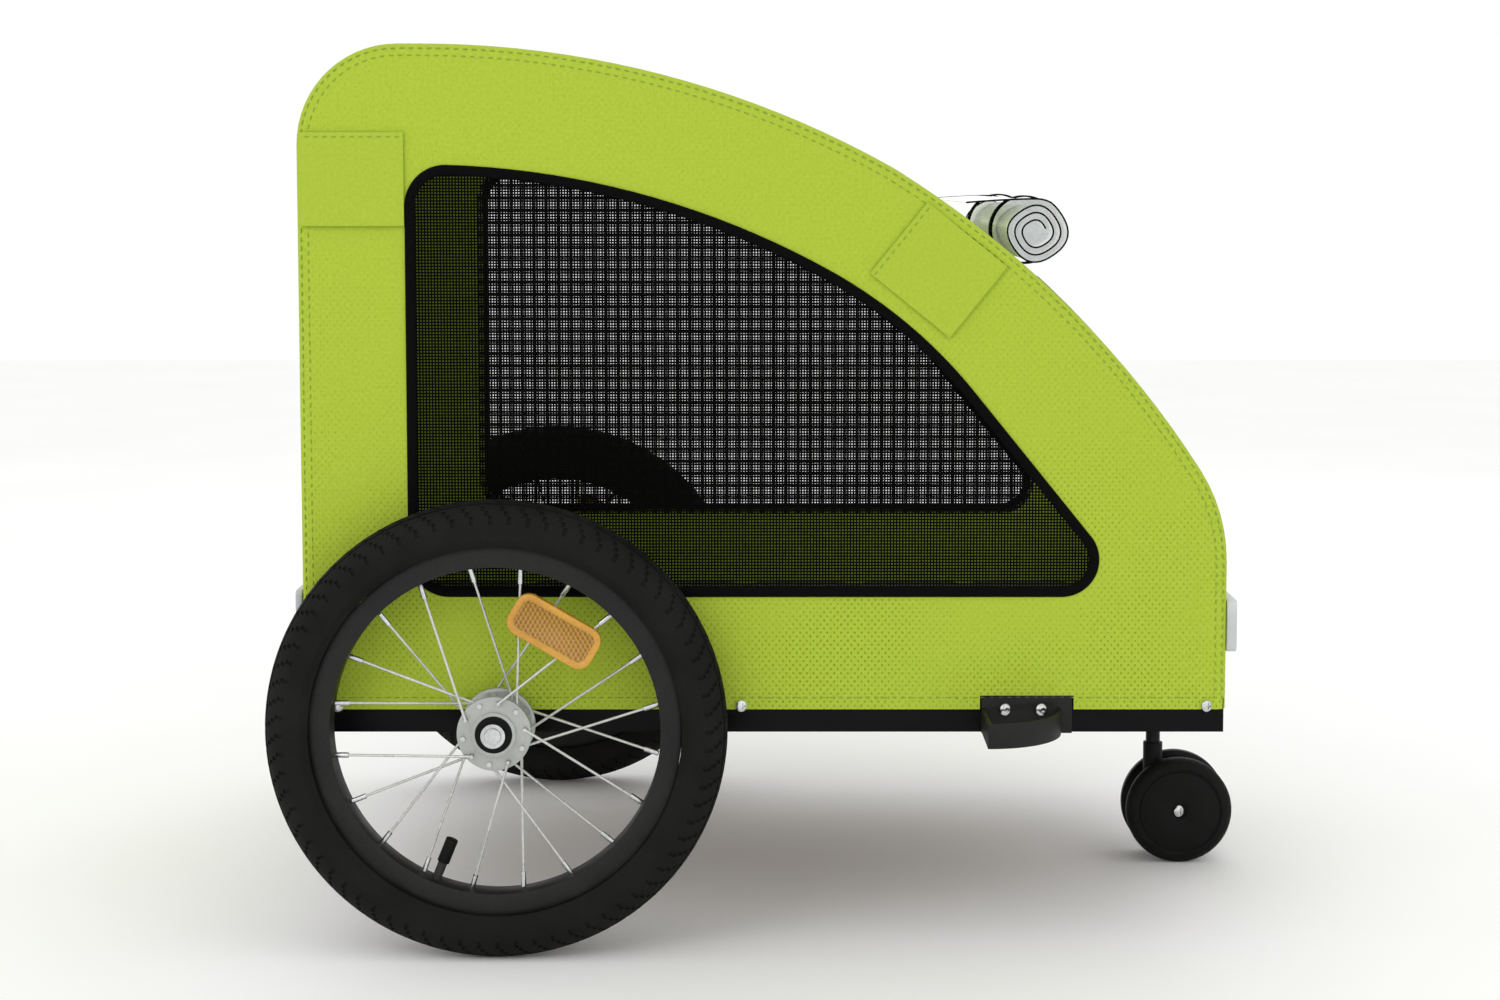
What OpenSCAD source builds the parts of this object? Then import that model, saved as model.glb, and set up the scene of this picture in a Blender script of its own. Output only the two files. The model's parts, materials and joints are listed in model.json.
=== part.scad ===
// Two-wheeled bicycle trailer with a fabric cabin and a swivel caster at the nose.
// +X points to the front, +Y to the left side and +Z up. The origin is on the ground, in the
// middle of the overall length and width. All sizes are in millimetres.

/* [Cabin] */
// Length of the cabin over its fabric
cabin_length = 812; // [680:1:975]
// Height of the cabin, from the lower edge of its fabric to the roof
cabin_height = 581.5; // [500:0.5:698]
// Width of the cabin over its side panels
cabin_width = 578; // [470:1:620]
// Thickness of the fabric walls
fabric_t = 2; // [1:0.25:3]
// Radius of the corner between the rear wall and the roof
rear_corner_r = 88; // [70:1:106]
// Length of the flat stretch of roof behind the first arc
roof_flat = 20; // [10:1:30]
// Radius of the short ridge between the roof and the front slope
ridge_r = 200; // [160:1:240]
// Radius of the nose between the front slope and the front wall
nose_r = 150; // [120:1:180]
// Height of the upright front wall
front_wall_h = 129; // [105:1:155]

/* [Window] */
// Distance from the rear wall to the edge of the window's trim
window_rear_margin = 94; // [75:1:115]
// Distance from the roof to the edge of the window's trim
window_roof_margin = 104; // [85:1:125]
// Height of the window's lower edge above the lower edge of the fabric
window_sill = 99.5; // [80:0.5:120]
// Radius of the window's two rear corners
window_corner_r = 36; // [25:1:44]
// Radius of the window's front corner
window_nose_r = 33; // [20:1:42]
// Radius of the bend between the window's top edge and its front slope
window_bend_r = 430; // [350:5:520]
// Steepness of the window's front slope, in degrees
window_slope = 51; // [45:1:56]
// Width of the trim around each window and the doorway
trim_w = 9.5; // [7:0.5:12]
// Thickness of the trim
trim_t = 1.6; // [1:0.1:2.5]
// Thickness of the window mesh
mesh_t = 0.7; // [0.5:0.1:1]

/* [Doorway] */
// Height of the doorway's sill above the lower edge of the fabric
doorway_sill = 158; // [140:1:190]
// Height of the doorway's top above its sill
doorway_height = 215; // [170:1:240]
// Width of fabric left at each side of the doorway
doorway_margin = 62; // [50:1:75]

/* [Rolled cover] */
// Outer diameter of the rolled-up front cover
roll_d = 60; // [48:1:72]
// Length of the roll
roll_length = 480; // [400:5:500]
// Turn of the front slope at which the roll lies, in degrees
roll_turn = 8.6; // [6:0.1:12]
// Width of each strap that holds the roll
strap_w = 25; // [20:1:30]
// Distance between the two straps
strap_spacing = 260; // [200:5:320]

/* [Frame] */
// Width of the side rails
rail_w = 20; // [17:1:24]
// Height of the side rails
rail_h = 30; // [26:1:36]
// Wall of the rails and crossmembers
rail_wall = 1.5; // [1:0.25:2]
// Height of the axle above the underside of the rails
axle_in_rail = 11; // [10:0.5:12]
// Height of the fabric's lower edge above the underside of the rails
fabric_above_rail = 20.5; // [17:0.5:24]
// Height of the crossmembers
crossmember_h = 25; // [21:1:25]
// Width of the front crossmember, which carries the caster
front_member_w = 30; // [26:1:36]
// Width of the other crossmembers
cross_member_w = 20; // [16:1:24]
// Thickness of the floor board
board_t = 5; // [4:1:5]
// Thickness of the floor pad
pad_t = 25; // [20:1:30]

/* [Hoops] */
// Diameter of the two cabin hoops
hoop_d = 16; // [14:0.5:17]
// Wall of the hoops and crossbars
hoop_wall = 1.5; // [1:0.25:2]
// Diameter of the two crossbars between the hoops
crossbar_d = 16; // [13:0.5:19]
// Height of the rear crossbar above the top of the rails
rear_crossbar_rise = 455; // [400:1:470]
// Turn of the front slope at which the front crossbar lies, in degrees
front_crossbar_turn = 5; // [3:0.5:8]
// Length of the plug in each tube end
plug_length = 36; // [30:1:44]
// Diameter of the screws that hold the crossbars
crossbar_screw_d = 6; // [5:1:8]

/* [Flaps] */
// Width of the rear flaps, along the trailer
rear_flap_w = 91; // [76:1:100]
// Height of the rear flaps
rear_flap_h = 81; // [68:1:97]
// Length of the front flaps' sewn edge
front_flap_h = 79; // [66:1:90]
// Length of the front flaps along the slope
front_flap_w = 89; // [74:1:100]
// Steepness of the front flaps, in degrees
front_flap_slope = 39; // [35:0.5:45]
// Turn of the front slope at which the front flaps lie, in degrees
front_flap_turn = 5.35; // [4.5:0.05:6.5]
// Distance of the front flaps inside the cabin's outline
front_flap_inset = 11.3; // [9:0.1:13.5]
// Thickness of the flaps
flap_t = 1.5; // [1:0.1:2]

/* [Wheels] */
// Outer diameter of the tyres
tyre_d = 400; // [340:1:480]
// Width of the tyres
tyre_w = 47; // [40:1:54]
// Wall of the tyres
tyre_wall = 4; // [3:0.5:5]
// Diameter at the rim's outer edge
rim_edge_d = 321; // [290:1:322]
// Inner diameter of the rim
rim_inner_d = 285; // [250:1:286]
// Width of the rim
rim_w = 26; // [22:1:30]
// Distance between the mid-planes of the two tyres
track = 650; // [640:1:760]
// Distance of the axle behind the middle of the cabin
axle_back = 232; // [195:1:270]
// Number of spokes in each wheel
spoke_count = 20; // [16:4:28]
// Diameter of the spokes
spoke_d = 2.3; // [2:0.1:2.6]
// Diameter of the nipples
nipple_d = 4.6; // [4:0.1:5.2]
// Length of the nipples
nipple_length = 13; // [10:1:16]
// Length of the valve cap
valve_cap_length = 22; // [18:1:26]
// Direction of the valve from the hub, in degrees
valve_angle = 248; // [246:1:258]

/* [Hubs] */
// Diameter of the hub flanges
flange_d = 64; // [56:1:72]
// Thickness of the hub flanges
flange_t = 4; // [3:0.5:5]
// Distance between the flanges' mid-planes
flange_spacing = 38; // [32:1:44]
// Length of the hub shell
hub_length = 50; // [46:1:58]
// Diameter of the hub barrel between its flanges
barrel_d = 37; // [36:1:42]
// Outer diameter of the bearings
bearing_d = 32; // [28:1:32]
// Width of the bearings
bearing_w = 10; // [8:1:12]
// Diameter of the stub axles, which is the bearings' bore
axle_d = 12; // [10:1:14]
// Diameter of the tube that takes the two stub axles
axle_tube_d = 18; // [16:1:19]
// Length of each stub axle inside the hub's mid-plane
axle_reach = 140; // [120:1:170]
// Diameter of the stub axle's head
axle_head_d = 21; // [19:0.5:25]
// Diameter of the release button
button_d = 14; // [12:0.5:15]
// Travel of the release button
button_travel = 2.8; // [2.2:0.1:3.4]

/* [Caster] */
// Diameter of the caster wheels
caster_d = 104; // [86:1:120]
// Width over the two caster wheels
caster_w = 54.8; // [48:0.2:66]
// Gap between the two caster wheels
caster_gap = 20.6; // [20:0.2:24]
// Distance of the caster wheels' axle from the swivel axis
caster_trail = 23.4; // [19:0.1:28]
// Distance of the swivel axis from the front end of the rails
caster_setback = 17.7; // [15:0.1:21]
// Diameter of the swivel stem
stem_d = 14; // [12:0.5:15]
// Diameter of the collar around the stem
collar_d = 19; // [18:0.5:20]
// Height of the collar's top above the ground
collar_top = 116; // [100:1:130]
// Diameter of the caster axle
caster_axle_d = 8; // [6:0.5:10]

/* [Hitch bracket] */
// Length of the bracket's plate
bracket_length = 79.4; // [66:0.2:95]
// Distance of the plate's rear end in front of the middle of the cabin
bracket_front = 190.6; // [160:0.2:228]
// Thickness of the bracket's steel
bracket_t = 3; // [2.5:0.5:4]
// Height of the loop that stands out from the plate
loop_h = 21; // [17:1:25]
// Distance that the loop stands out from the plate
loop_reach = 68; // [56:1:74]
// Distance between the two bolts
bolt_spacing = 31.7; // [26:0.1:38]
// Diameter of the bolts
bolt_d = 5; // [4:0.5:6]

/* [Reflectors] */
// Width of the front and rear reflectors
reflector_w = 80; // [66:1:96]
// Height of the front and rear reflectors
reflector_h = 46; // [38:1:55]
// Thickness of the front reflectors
front_reflector_t = 9; // [7:0.5:11]
// Thickness of the rear reflectors
rear_reflector_t = 6; // [5:0.5:8]
// Height of the front reflectors above the lower edge of the fabric
front_reflector_rise = 50; // [40:1:60]
// Height of the rear reflectors above the lower edge of the fabric
rear_reflector_rise = 59; // [48:1:70]
// Length of the reflector in each wheel
spoke_reflector_l = 81; // [68:1:90]
// Height of the reflector in each wheel
spoke_reflector_h = 38; // [32:1:42]
// Thickness of the reflector in each wheel
spoke_reflector_t = 9; // [7:0.5:11]
// Distance of the wheel reflector's middle from the hub's axis
spoke_reflector_r = 103; // [95:1:110]
// Direction of the wheel reflector from the hub, in degrees
spoke_reflector_angle = 59.7; // [50:0.1:70]

/* [Fasteners] */
// Head diameter of the screws that hold the fabric to the rails
fabric_screw_head_d = 11; // [9:0.5:13]
// Shank diameter of the screws that hold the fabric to the rails
fabric_screw_d = 4; // [3:0.5:5]
// Distance of the rear fabric screws in front of the cabin's rear wall
rear_screw_inset = 31.4; // [26:0.1:37]
// Distance of the middle fabric screws behind the middle of the cabin
middle_screw_back = 20.2; // [17:0.1:24]
// Distance of the front fabric screws behind the cabin's front wall
front_screw_inset = 17.3; // [15:0.1:20]

/* [Hidden] */
$fn = 96;

// Clearances: between soft walls and what they lie on, and between a screw and its hole
lay_gap = 0.3;
hole_gap = 0.1;
running_gap = 0.04;

// Turns of the roof, the ridge, the front slope and the nose, in degrees; they add up to 90
roof_turn = 29;
ridge_turn = 3;
slope_turn = 25;
nose_turn = 90 - roof_turn - ridge_turn - slope_turn;

// Heights above the ground
axle_z = tyre_d / 2;
rail_bottom = axle_z - axle_in_rail;
rail_top = rail_bottom + rail_h;
fabric_bottom = rail_bottom + fabric_above_rail;
screw_z = fabric_bottom + 3;
board_bottom = rail_bottom + crossmember_h;
caster_z = caster_d / 2;

// Places along the trailer, from the middle of the cabin
cabin_rear = -cabin_length / 2;
cabin_front = cabin_length / 2;
rail_rear = cabin_rear + fabric_t + lay_gap;
rail_front = cabin_front - fabric_t - lay_gap;
axle_x = -axle_back;
swivel_x = rail_front - caster_setback;
caster_x = swivel_x + caster_trail;
// The part's origin is in the middle of the overall length
overall_shift = -(caster_x + caster_d / 2 + axle_x - tyre_d / 2) / 2;

// Places across the trailer
half_width = cabin_width / 2;
panel_inner = half_width - fabric_t;
rail_outer = panel_inner - lay_gap;
rail_inner = rail_outer - rail_w;
hoop_y = rail_outer - rail_w / 2;
hoop_r = hoop_d / 2;
hoop_inset = fabric_t + lay_gap + hoop_r;
crossbar_half = hoop_y - hoop_r - lay_gap;
flap_y = half_width + lay_gap;

// ---- Outlines made of straight runs and arcs, in the plane of the side panels ----

// A step is [length, 0] for a straight run or [radius, turn] for an arc; a turn to the right
// is negative. A walk starts at point p with heading h, in degrees.
function along(h) = [cos(h), sin(h)];
function arc_point(p, h, s, share) =
    let (side = sign(s[1]), c = p + side * s[0] * along(h + 90))
    c + side * s[0] * along(h + s[1] * share - 90);
function step_end(p, h, s) = s[1] == 0 ? p + s[0] * along(h) : arc_point(p, h, s, 1);
function step_points(p, h, s) =
    let (pieces = s[1] == 0 ? 1 : max(2, ceil(abs(s[1]) / (s[0] > 250 ? 1.5 : 6))))
    [for (i = [1:pieces]) s[1] == 0 ? step_end(p, h, s) : arc_point(p, h, s, i / pieces)];
function walk(p, h, steps, i = 0) = i == len(steps) ? [] :
    concat(step_points(p, h, steps[i]),
           walk(step_end(p, h, steps[i]), h + steps[i][1], steps, i + 1));
function pose_after(p, h, steps, n) = n == 0 ? [p, h] :
    let (q = pose_after(p, h, steps, n - 1))
    [step_end(q[0], q[1], steps[n - 1]), q[1] + steps[n - 1][1]];
// The same walk, a distance d further in, which is to its right
function inset(steps, d) = [for (s = steps) s[1] == 0 ? s : [s[0] + sign(s[1]) * d, s[1]]];
function reversed(list) = [for (i = [len(list) - 1:-1:0]) list[i]];

// The cabin's outline: up the rear wall, over the roof and down the front to the fabric's
// lower edge. The radii of the roof and the front slope follow from the cabin's length and
// height, through the two equations for how far the outline runs along and down.
slope_start = roof_turn + ridge_turn;
slope_end = slope_start + slope_turn;
run_left = cabin_length - rear_corner_r - roof_flat
    - ridge_r * (sin(slope_start) - sin(roof_turn)) - nose_r * (1 - sin(slope_end));
drop_left = cabin_height - front_wall_h
    - ridge_r * (cos(roof_turn) - cos(slope_start)) - nose_r * cos(slope_end);
roof_run = sin(roof_turn);
roof_drop = 1 - cos(roof_turn);
slope_run = sin(slope_end) - sin(slope_start);
slope_drop = cos(slope_start) - cos(slope_end);
both = roof_run * slope_drop - slope_run * roof_drop;
roof_r = (run_left * slope_drop - drop_left * slope_run) / both;
slope_r = (drop_left * roof_run - run_left * roof_drop) / both;
shell_steps = [
    [cabin_height - rear_corner_r, 0], [rear_corner_r, -90], [roof_flat, 0],
    [roof_r, -roof_turn], [ridge_r, -ridge_turn], [slope_r, -slope_turn],
    [nose_r, -nose_turn], [front_wall_h, 0]
];
SLOPE = 5;
function shell_start(d) = [cabin_rear + d, fabric_bottom];
// The stretch of the outline from step a to step b, a distance d inside the fabric
function shell_line(d, a, b) =
    let (steps = inset(shell_steps, d), q = pose_after(shell_start(d), 90, steps, a))
    concat([q[0]], walk(q[0], q[1], [for (i = [a:b]) steps[i]]));
// A point of the front slope, and its heading, after a share of its turn in degrees
function slope_pose(d, turn) =
    let (steps = inset(shell_steps, d), q = pose_after(shell_start(d), 90, steps, SLOPE))
    [arc_point(q[0], q[1], steps[SLOPE], turn / slope_turn), q[1] - turn];

// The window's outline, a distance d inside the edge of its trim
window_left = cabin_rear + window_rear_margin;
window_bottom = fabric_bottom + window_sill;
roof_centre = [cabin_rear + rear_corner_r + roof_flat, fabric_bottom + cabin_height - roof_r];
window_top_r = roof_r - window_roof_margin;
corner_reach = window_top_r - window_corner_r;
corner_tilt = asin((window_left + window_corner_r - roof_centre[0]) / corner_reach);
corner_z = roof_centre[1] + corner_reach * cos(corner_tilt);
bend_start = roof_centre + window_top_r * along(90 - roof_turn);
bend_end = step_end(bend_start, -roof_turn, [window_bend_r, roof_turn - window_slope]);
window_slope_run =
    (bend_end[1] - window_bottom - window_nose_r * (1 + cos(window_slope))) / sin(window_slope);
nose_x = bend_end[0] + window_slope_run * cos(window_slope) - window_nose_r * sin(window_slope);
window_steps = [
    [corner_z - window_bottom - window_corner_r, 0], [window_corner_r, -90 - corner_tilt],
    [window_top_r, corner_tilt - roof_turn], [window_bend_r, roof_turn - window_slope],
    [window_slope_run, 0], [window_nose_r, window_slope - 180],
    [nose_x - window_left - window_corner_r, 0], [window_corner_r, -90]
];
function window_line(d) =
    walk([window_left + d, window_bottom + window_corner_r], 90, inset(window_steps, d));

// ---- Helpers ----

// Moves what is placed from the middle of the cabin into the part's frame
module in_part() { translate([overall_shift, 0, 0]) children(); }
// Stands an outline up in the plane of the side panels, between two places across
module upright(y0, y1) {
    rotate([90, 0, 0]) translate([0, 0, -y1]) linear_extrude(y1 - y0) children();
}
// The right side is -1 and the left side is 1: what is drawn at the left is mirrored over
module on_side(side) { mirror([0, side < 0 ? 1 : 0, 0]) children(); }
module both_sides() { for (side = [-1, 1]) on_side(side) children(); }
// A round rod along Y between two places
module cross_rod(r, x, z, y0, y1) {
    translate([x, y1, z]) rotate([90, 0, 0]) cylinder(r = r, h = y1 - y0);
}
module box(x, y, z) {
    translate([x[0], y[0], z[0]]) cube([x[1] - x[0], y[1] - y[0], z[1] - z[0]]);
}
// A rectangular tube along Y
module cross_tube(x, half, z, wall) {
    difference() {
        box(x, [-half, half], z);
        box([x[0] + wall, x[1] - wall], [-half - 1, half + 1], [z[0] + wall, z[1] - wall]);
    }
}
// A domed screw head on a face, with its shank behind it along -Z
module dome_screw(head_d, head_h, shank_d, shank_l) {
    ball_r = (head_d * head_d / 4 + head_h * head_h) / (2 * head_h);
    intersection() {
        cylinder(d = head_d, h = head_h);
        translate([0, 0, head_h - ball_r]) sphere(ball_r);
    }
    translate([0, 0, -shank_l]) cylinder(d = shank_d, h = shank_l + 0.5);
}
// Points Z away from the left side panel
module outwards_left() { rotate([-90, 0, 0]) children(); }

// ---- Frame ----

fabric_screw_x = [cabin_rear + rear_screw_inset, -middle_screw_back,
                  cabin_front - front_screw_inset];
bolt_x = [for (s = [-1, 1]) bracket_front + bracket_length * 0.463 + s * bolt_spacing / 2];
bolt_z = rail_bottom + 20.5;

module rail(side) {
    color("#151515") in_part() on_side(side) difference() {
        box([rail_rear, rail_front], [rail_inner, rail_outer], [rail_bottom, rail_top]);
        box([rail_rear - 1, rail_front + 1], [rail_inner + rail_wall, rail_outer - rail_wall],
            [rail_bottom + rail_wall, rail_top - rail_wall]);
        cross_rod(axle_tube_d / 2 + hole_gap, axle_x, axle_z, rail_inner - 1, rail_outer + 1);
        for (x = fabric_screw_x)
            cross_rod(fabric_screw_d / 2 + hole_gap, x, screw_z, rail_outer - rail_wall - 1,
                      rail_outer + 1);
        if (side < 0)
            for (x = bolt_x)
                cross_rod(bolt_d / 2 + hole_gap, x, bolt_z, rail_inner - 1, rail_outer + 1);
    }
}

socket_h = crossmember_h - 2 * rail_wall;
module crossmembers() {
    z = [rail_bottom, board_bottom];
    middle = bracket_front - cross_member_w;
    color("#151515") in_part() {
        cross_tube([rail_rear, rail_rear + cross_member_w], rail_inner, z, rail_wall);
        cross_tube([middle, middle + cross_member_w], rail_inner, z, rail_wall);
        difference() {
            cross_tube([rail_front - front_member_w, rail_front], rail_inner, z, rail_wall);
            translate([swivel_x, 0, rail_bottom - 1])
                cylinder(d = stem_d + 2 * hole_gap, h = rail_wall + 2);
        }
        translate([swivel_x, 0, rail_bottom + rail_wall]) difference() {
            cylinder(d = stem_d + 6, h = socket_h);
            translate([0, 0, -1]) cylinder(d = stem_d + 2 * hole_gap, h = socket_h + 2);
        }
    }
}

tube_end = track / 2 - hub_length / 2 + 0.1;
ball_y = track / 2 - axle_reach + 12;
ball_r = 2.5;
module axle_tube() {
    color("#1b1b1b") in_part() difference() {
        cross_rod(axle_tube_d / 2, axle_x, axle_z, -tube_end, tube_end);
        cross_rod(axle_d / 2 + 0.05, axle_x, axle_z, -tube_end - 1, tube_end + 1);
        for (y = [-ball_y, ball_y])
            translate([axle_x - axle_tube_d, y, axle_z]) rotate([0, 90, 0])
                cylinder(r = ball_r + 0.2, h = 2 * axle_tube_d);
    }
}

module floor_board() {
    color("#6b5a45") in_part()
        box([rail_rear, rail_front], [-rail_inner + 0.4, rail_inner - 0.4],
            [board_bottom, board_bottom + board_t]);
}

pad_inset = 2 * hoop_inset + 4;
module floor_pad() {
    half = hoop_y - hoop_r - 6;
    z = board_bottom + board_t + lay_gap;
    color("#3a3d40") in_part()
        box([cabin_rear + pad_inset, cabin_front - pad_inset], [-half, half], [z, z + pad_t]);
}

// ---- Hoops and crossbars ----

// A round rod bent along the steps of a walk, starting at the origin along +X
module bent_rod(steps, r, i = 0) {
    if (i < len(steps)) {
        s = steps[i];
        if (s[1] == 0) {
            rotate([0, 90, 0]) cylinder(r = r, h = s[0]);
            translate([s[0], 0, 0]) bent_rod(steps, r, i + 1);
        } else {
            translate([0, -s[0], 0]) {
                rotate([0, 0, 90 + s[1]]) rotate_extrude(angle = -s[1])
                    translate([s[0], 0]) circle(r);
                rotate([0, 0, s[1]]) translate([0, s[0], 0]) bent_rod(steps, r, i + 1);
            }
        }
    }
}

// Each hoop is four tubes that follow the cabin's outline: the rear leg with its corner, the
// roof, the front slope, and the nose with the front leg. Spigots join them end to end.
leg_cut = rail_top - fabric_bottom;
hoop_steps = inset(shell_steps, hoop_inset);
ROOF = 3;
NOSE = 6;
HOOP_TUBES = [[0, ROOF - 1], [ROOF, ROOF], [SLOPE, SLOPE], [NOSE, NOSE + 1]];
tube_gap = 0.1;
function hoop_pose(n) = pose_after(shell_start(hoop_inset), 90, hoop_steps, n);
// The steps of one tube: the legs stand on the rails, and every tube stops just short of the next
function cut_step(i, last) =
    let (s = hoop_steps[i])
    s[1] != 0 ? (i == last ? [s[0], s[1] + tube_gap / s[0] * 180 / PI] : s)
              : [s[0] - (i == 0 || i == len(hoop_steps) - 1 ? leg_cut : i == last ? tube_gap : 0), 0];
module hoop_tube(tube) {
    q = hoop_pose(tube[0]);
    foot = tube[0] == 0 ? leg_cut : 0;
    steps = [for (i = [tube[0]:tube[1]]) cut_step(i, tube[1])];
    translate([q[0][0], hoop_y, q[0][1] + foot]) rotate([90, 0, 0]) rotate([0, 0, q[1]])
        difference() {
            bent_rod(steps, hoop_r);
            bent_rod(steps, hoop_r - hoop_wall);
        }
}
rear_bar = [cabin_rear + hoop_inset, rail_top + rear_crossbar_rise];
front_bar = slope_pose(hoop_inset, front_crossbar_turn)[0];
bars = [rear_bar, front_bar];

module hoop(side) {
    color("#1c1c1c") in_part() on_side(side) difference() {
        for (tube = HOOP_TUBES) hoop_tube(tube);
        for (b = bars)
            cross_rod(crossbar_screw_d / 2 + hole_gap, b[0], b[1], hoop_y - hoop_d,
                      hoop_y + hoop_d);
    }
}

// A spigot across a joint between two tubes, with a run between their ends
spigot_gap = 0.6;
spigot_reach = 14;
nose_spigot_reach = 11;
module spigot(at, tilt, run, reach) {
    translate([at[0], hoop_y, at[1]]) rotate([0, -tilt, 0]) translate([-reach, 0, 0])
        rotate([0, 90, 0]) cylinder(r = hoop_r - hoop_wall - spigot_gap, h = run + 2 * reach);
}
// The collar fills the ridge, between the roof tube and the slope tube
module ridge_joint() {
    roof_end = hoop_pose(SLOPE - 1)[0];
    v = hoop_pose(SLOPE)[0] - roof_end;
    tilt = atan2(v[1], v[0]);
    slack = hoop_r * tan(ridge_turn / 2) + tube_gap / 2;
    spigot(roof_end, tilt, norm(v), spigot_reach);
    translate([roof_end[0], hoop_y, roof_end[1]]) rotate([0, -tilt, 0])
        translate([slack, 0, 0]) rotate([0, 90, 0]) cylinder(r = hoop_r, h = norm(v) - 2 * slack);
}

bar_bore = crossbar_d - 2 * hoop_wall;
module crossbars() {
    color("#1c1c1c") in_part() for (b = bars) difference() {
        cross_rod(crossbar_d / 2, b[0], b[1], -crossbar_half, crossbar_half);
        cross_rod(bar_bore / 2, b[0], b[1], -crossbar_half - 1, crossbar_half + 1);
    }
}

// Plugs that stand in the hoops' legs, threaded ones in the crossbars' ends, and the spigots
module tube_plugs() {
    leg_bore = hoop_d - 2 * hoop_wall;
    color("#8d9092") in_part() both_sides() {
        for (x = [cabin_rear + hoop_inset, cabin_front - hoop_inset])
            translate([x, hoop_y, rail_top]) cylinder(d = leg_bore - hole_gap, h = plug_length);
        ridge_joint();
        spigot(hoop_pose(ROOF)[0], 0, 0, spigot_reach);
        spigot(hoop_pose(NOSE)[0], -slope_end, 0, nose_spigot_reach);
        for (b = bars) difference() {
            cross_rod((bar_bore - hole_gap) / 2, b[0], b[1], crossbar_half - plug_length,
                      crossbar_half);
            cross_rod(crossbar_screw_d / 2, b[0], b[1], crossbar_half - plug_length - 1,
                      crossbar_half + 1);
        }
    }
}

module crossbar_screws() {
    reach = hoop_d + plug_length * 0.7;
    screw_head_h = panel_inner - hoop_y - hoop_r - 0.4;
    color("#c9cbcc") in_part() both_sides() for (b = bars)
        translate([b[0], hoop_y + hoop_r, b[1]]) outwards_left()
            dome_screw(crossbar_screw_d * 2, screw_head_h, crossbar_screw_d - 2 * running_gap,
                       reach);
}

// ---- Fabric ----

module side_panel(side) {
    d = fabric_t + lay_gap;
    color("#abc541") in_part() on_side(side) upright(panel_inner, half_width) difference() {
        polygon(shell_line(d, 0, len(shell_steps) - 1));
        polygon(window_line(trim_w / 2));
        for (x = fabric_screw_x) translate([x, screw_z]) circle(fabric_screw_d / 2 + hole_gap);
        if (side < 0)
            translate([bracket_front - 1, fabric_bottom - 1])
                square([bracket_length + 2, rail_top + 2.3 - fabric_bottom + 1]);
    }
}

module window_meshes() {
    color("#1d1d1d") in_part() both_sides()
        upright(panel_inner - lay_gap - mesh_t, panel_inner - lay_gap)
            polygon(window_line(-2));
}

module window_trims() {
    color("#0c0c0c") in_part() both_sides() upright(half_width, half_width + trim_t)
        difference() {
            polygon(window_line(0));
            polygon(window_line(trim_w));
        }
}

// A strip of the cabin's skin over its full width, from step a to step b of the outline
module skin(a, b) {
    upright(-half_width, half_width)
        polygon(concat(shell_line(0, a, b), reversed(shell_line(fabric_t, a, b))));
}
module rear_panel() { color("#abc541") in_part() skin(0, 0); }
module roof_panel() { color("#abc541") in_part() skin(1, 3); }

doorway_z = [fabric_bottom + doorway_sill, fabric_bottom + doorway_sill + doorway_height];
doorway_half = half_width - doorway_margin;
module doorway_block(grow) {
    box([0, cabin_front + 50], [-doorway_half - grow, doorway_half + grow],
        [doorway_z[0] - grow, doorway_z[1] + grow]);
}
module front_panel() {
    color("#abc541") in_part() difference() {
        skin(SLOPE - 1, len(shell_steps) - 1);
        doorway_block(0);
    }
}

// The trim stands on the skin, around the doorway
module doorway_trim() {
    a = SLOPE;
    b = len(shell_steps) - 1;
    color("#0c0c0c") in_part() difference() {
        intersection() {
            upright(-half_width, half_width) polygon(concat(
                shell_line(-lay_gap - trim_t, a, b), reversed(shell_line(-lay_gap, a, b))));
            doorway_block(trim_w);
        }
        doorway_block(0);
    }
}

roll_pose = slope_pose(-lay_gap - roll_d / 2, roll_turn);
roll_at = roll_pose[0];
strap_t = 1.5;
module rolled_cover() {
    color("#dfe3e4") in_part()
        cross_rod(roll_d / 2, roll_at[0], roll_at[1], -roll_length / 2, roll_length / 2);
}

module cover_straps() {
    color("#161616") in_part() both_sides() difference() {
        r = roll_d / 2 + 0.2;
        y = [(strap_spacing - strap_w) / 2, (strap_spacing + strap_w) / 2];
        cross_rod(r + strap_t, roll_at[0], roll_at[1], y[0], y[1]);
        cross_rod(r, roll_at[0], roll_at[1], y[0] - 1, y[1] + 1);
        // the strap is open where the roll lies on the slope
        upright(-half_width, half_width) polygon(concat(
            shell_line(-lay_gap, SLOPE, SLOPE), reversed(shell_line(40, SLOPE, SLOPE))));
    }
}

module fabric_screws() {
    color("#d5d7d8") in_part() both_sides() for (x = fabric_screw_x)
        translate([x, half_width, screw_z]) outwards_left()
            dome_screw(fabric_screw_head_d, 2.4, fabric_screw_d, fabric_t + 8);
}

// ---- Flaps ----

// The rear flaps are sewn along their top edge, the front flaps along their rear edge
front_flap_at = slope_pose(front_flap_inset, front_flap_turn)[0];
module rear_flap(side) {
    color("#b2cc48") in_part() on_side(side) upright(flap_y, flap_y + flap_t)
        translate([cabin_rear + 3, rear_bar[1] - rear_flap_h / 2])
            square([rear_flap_w, rear_flap_h]);
}
module front_flap(side) {
    color("#b2cc48") in_part() on_side(side) upright(flap_y, flap_y + flap_t)
        translate(front_flap_at) rotate(-front_flap_slope)
            translate([-front_flap_w / 2, -front_flap_h]) square([front_flap_w, front_flap_h]);
}

// ---- Hitch bracket and reflectors ----

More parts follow.
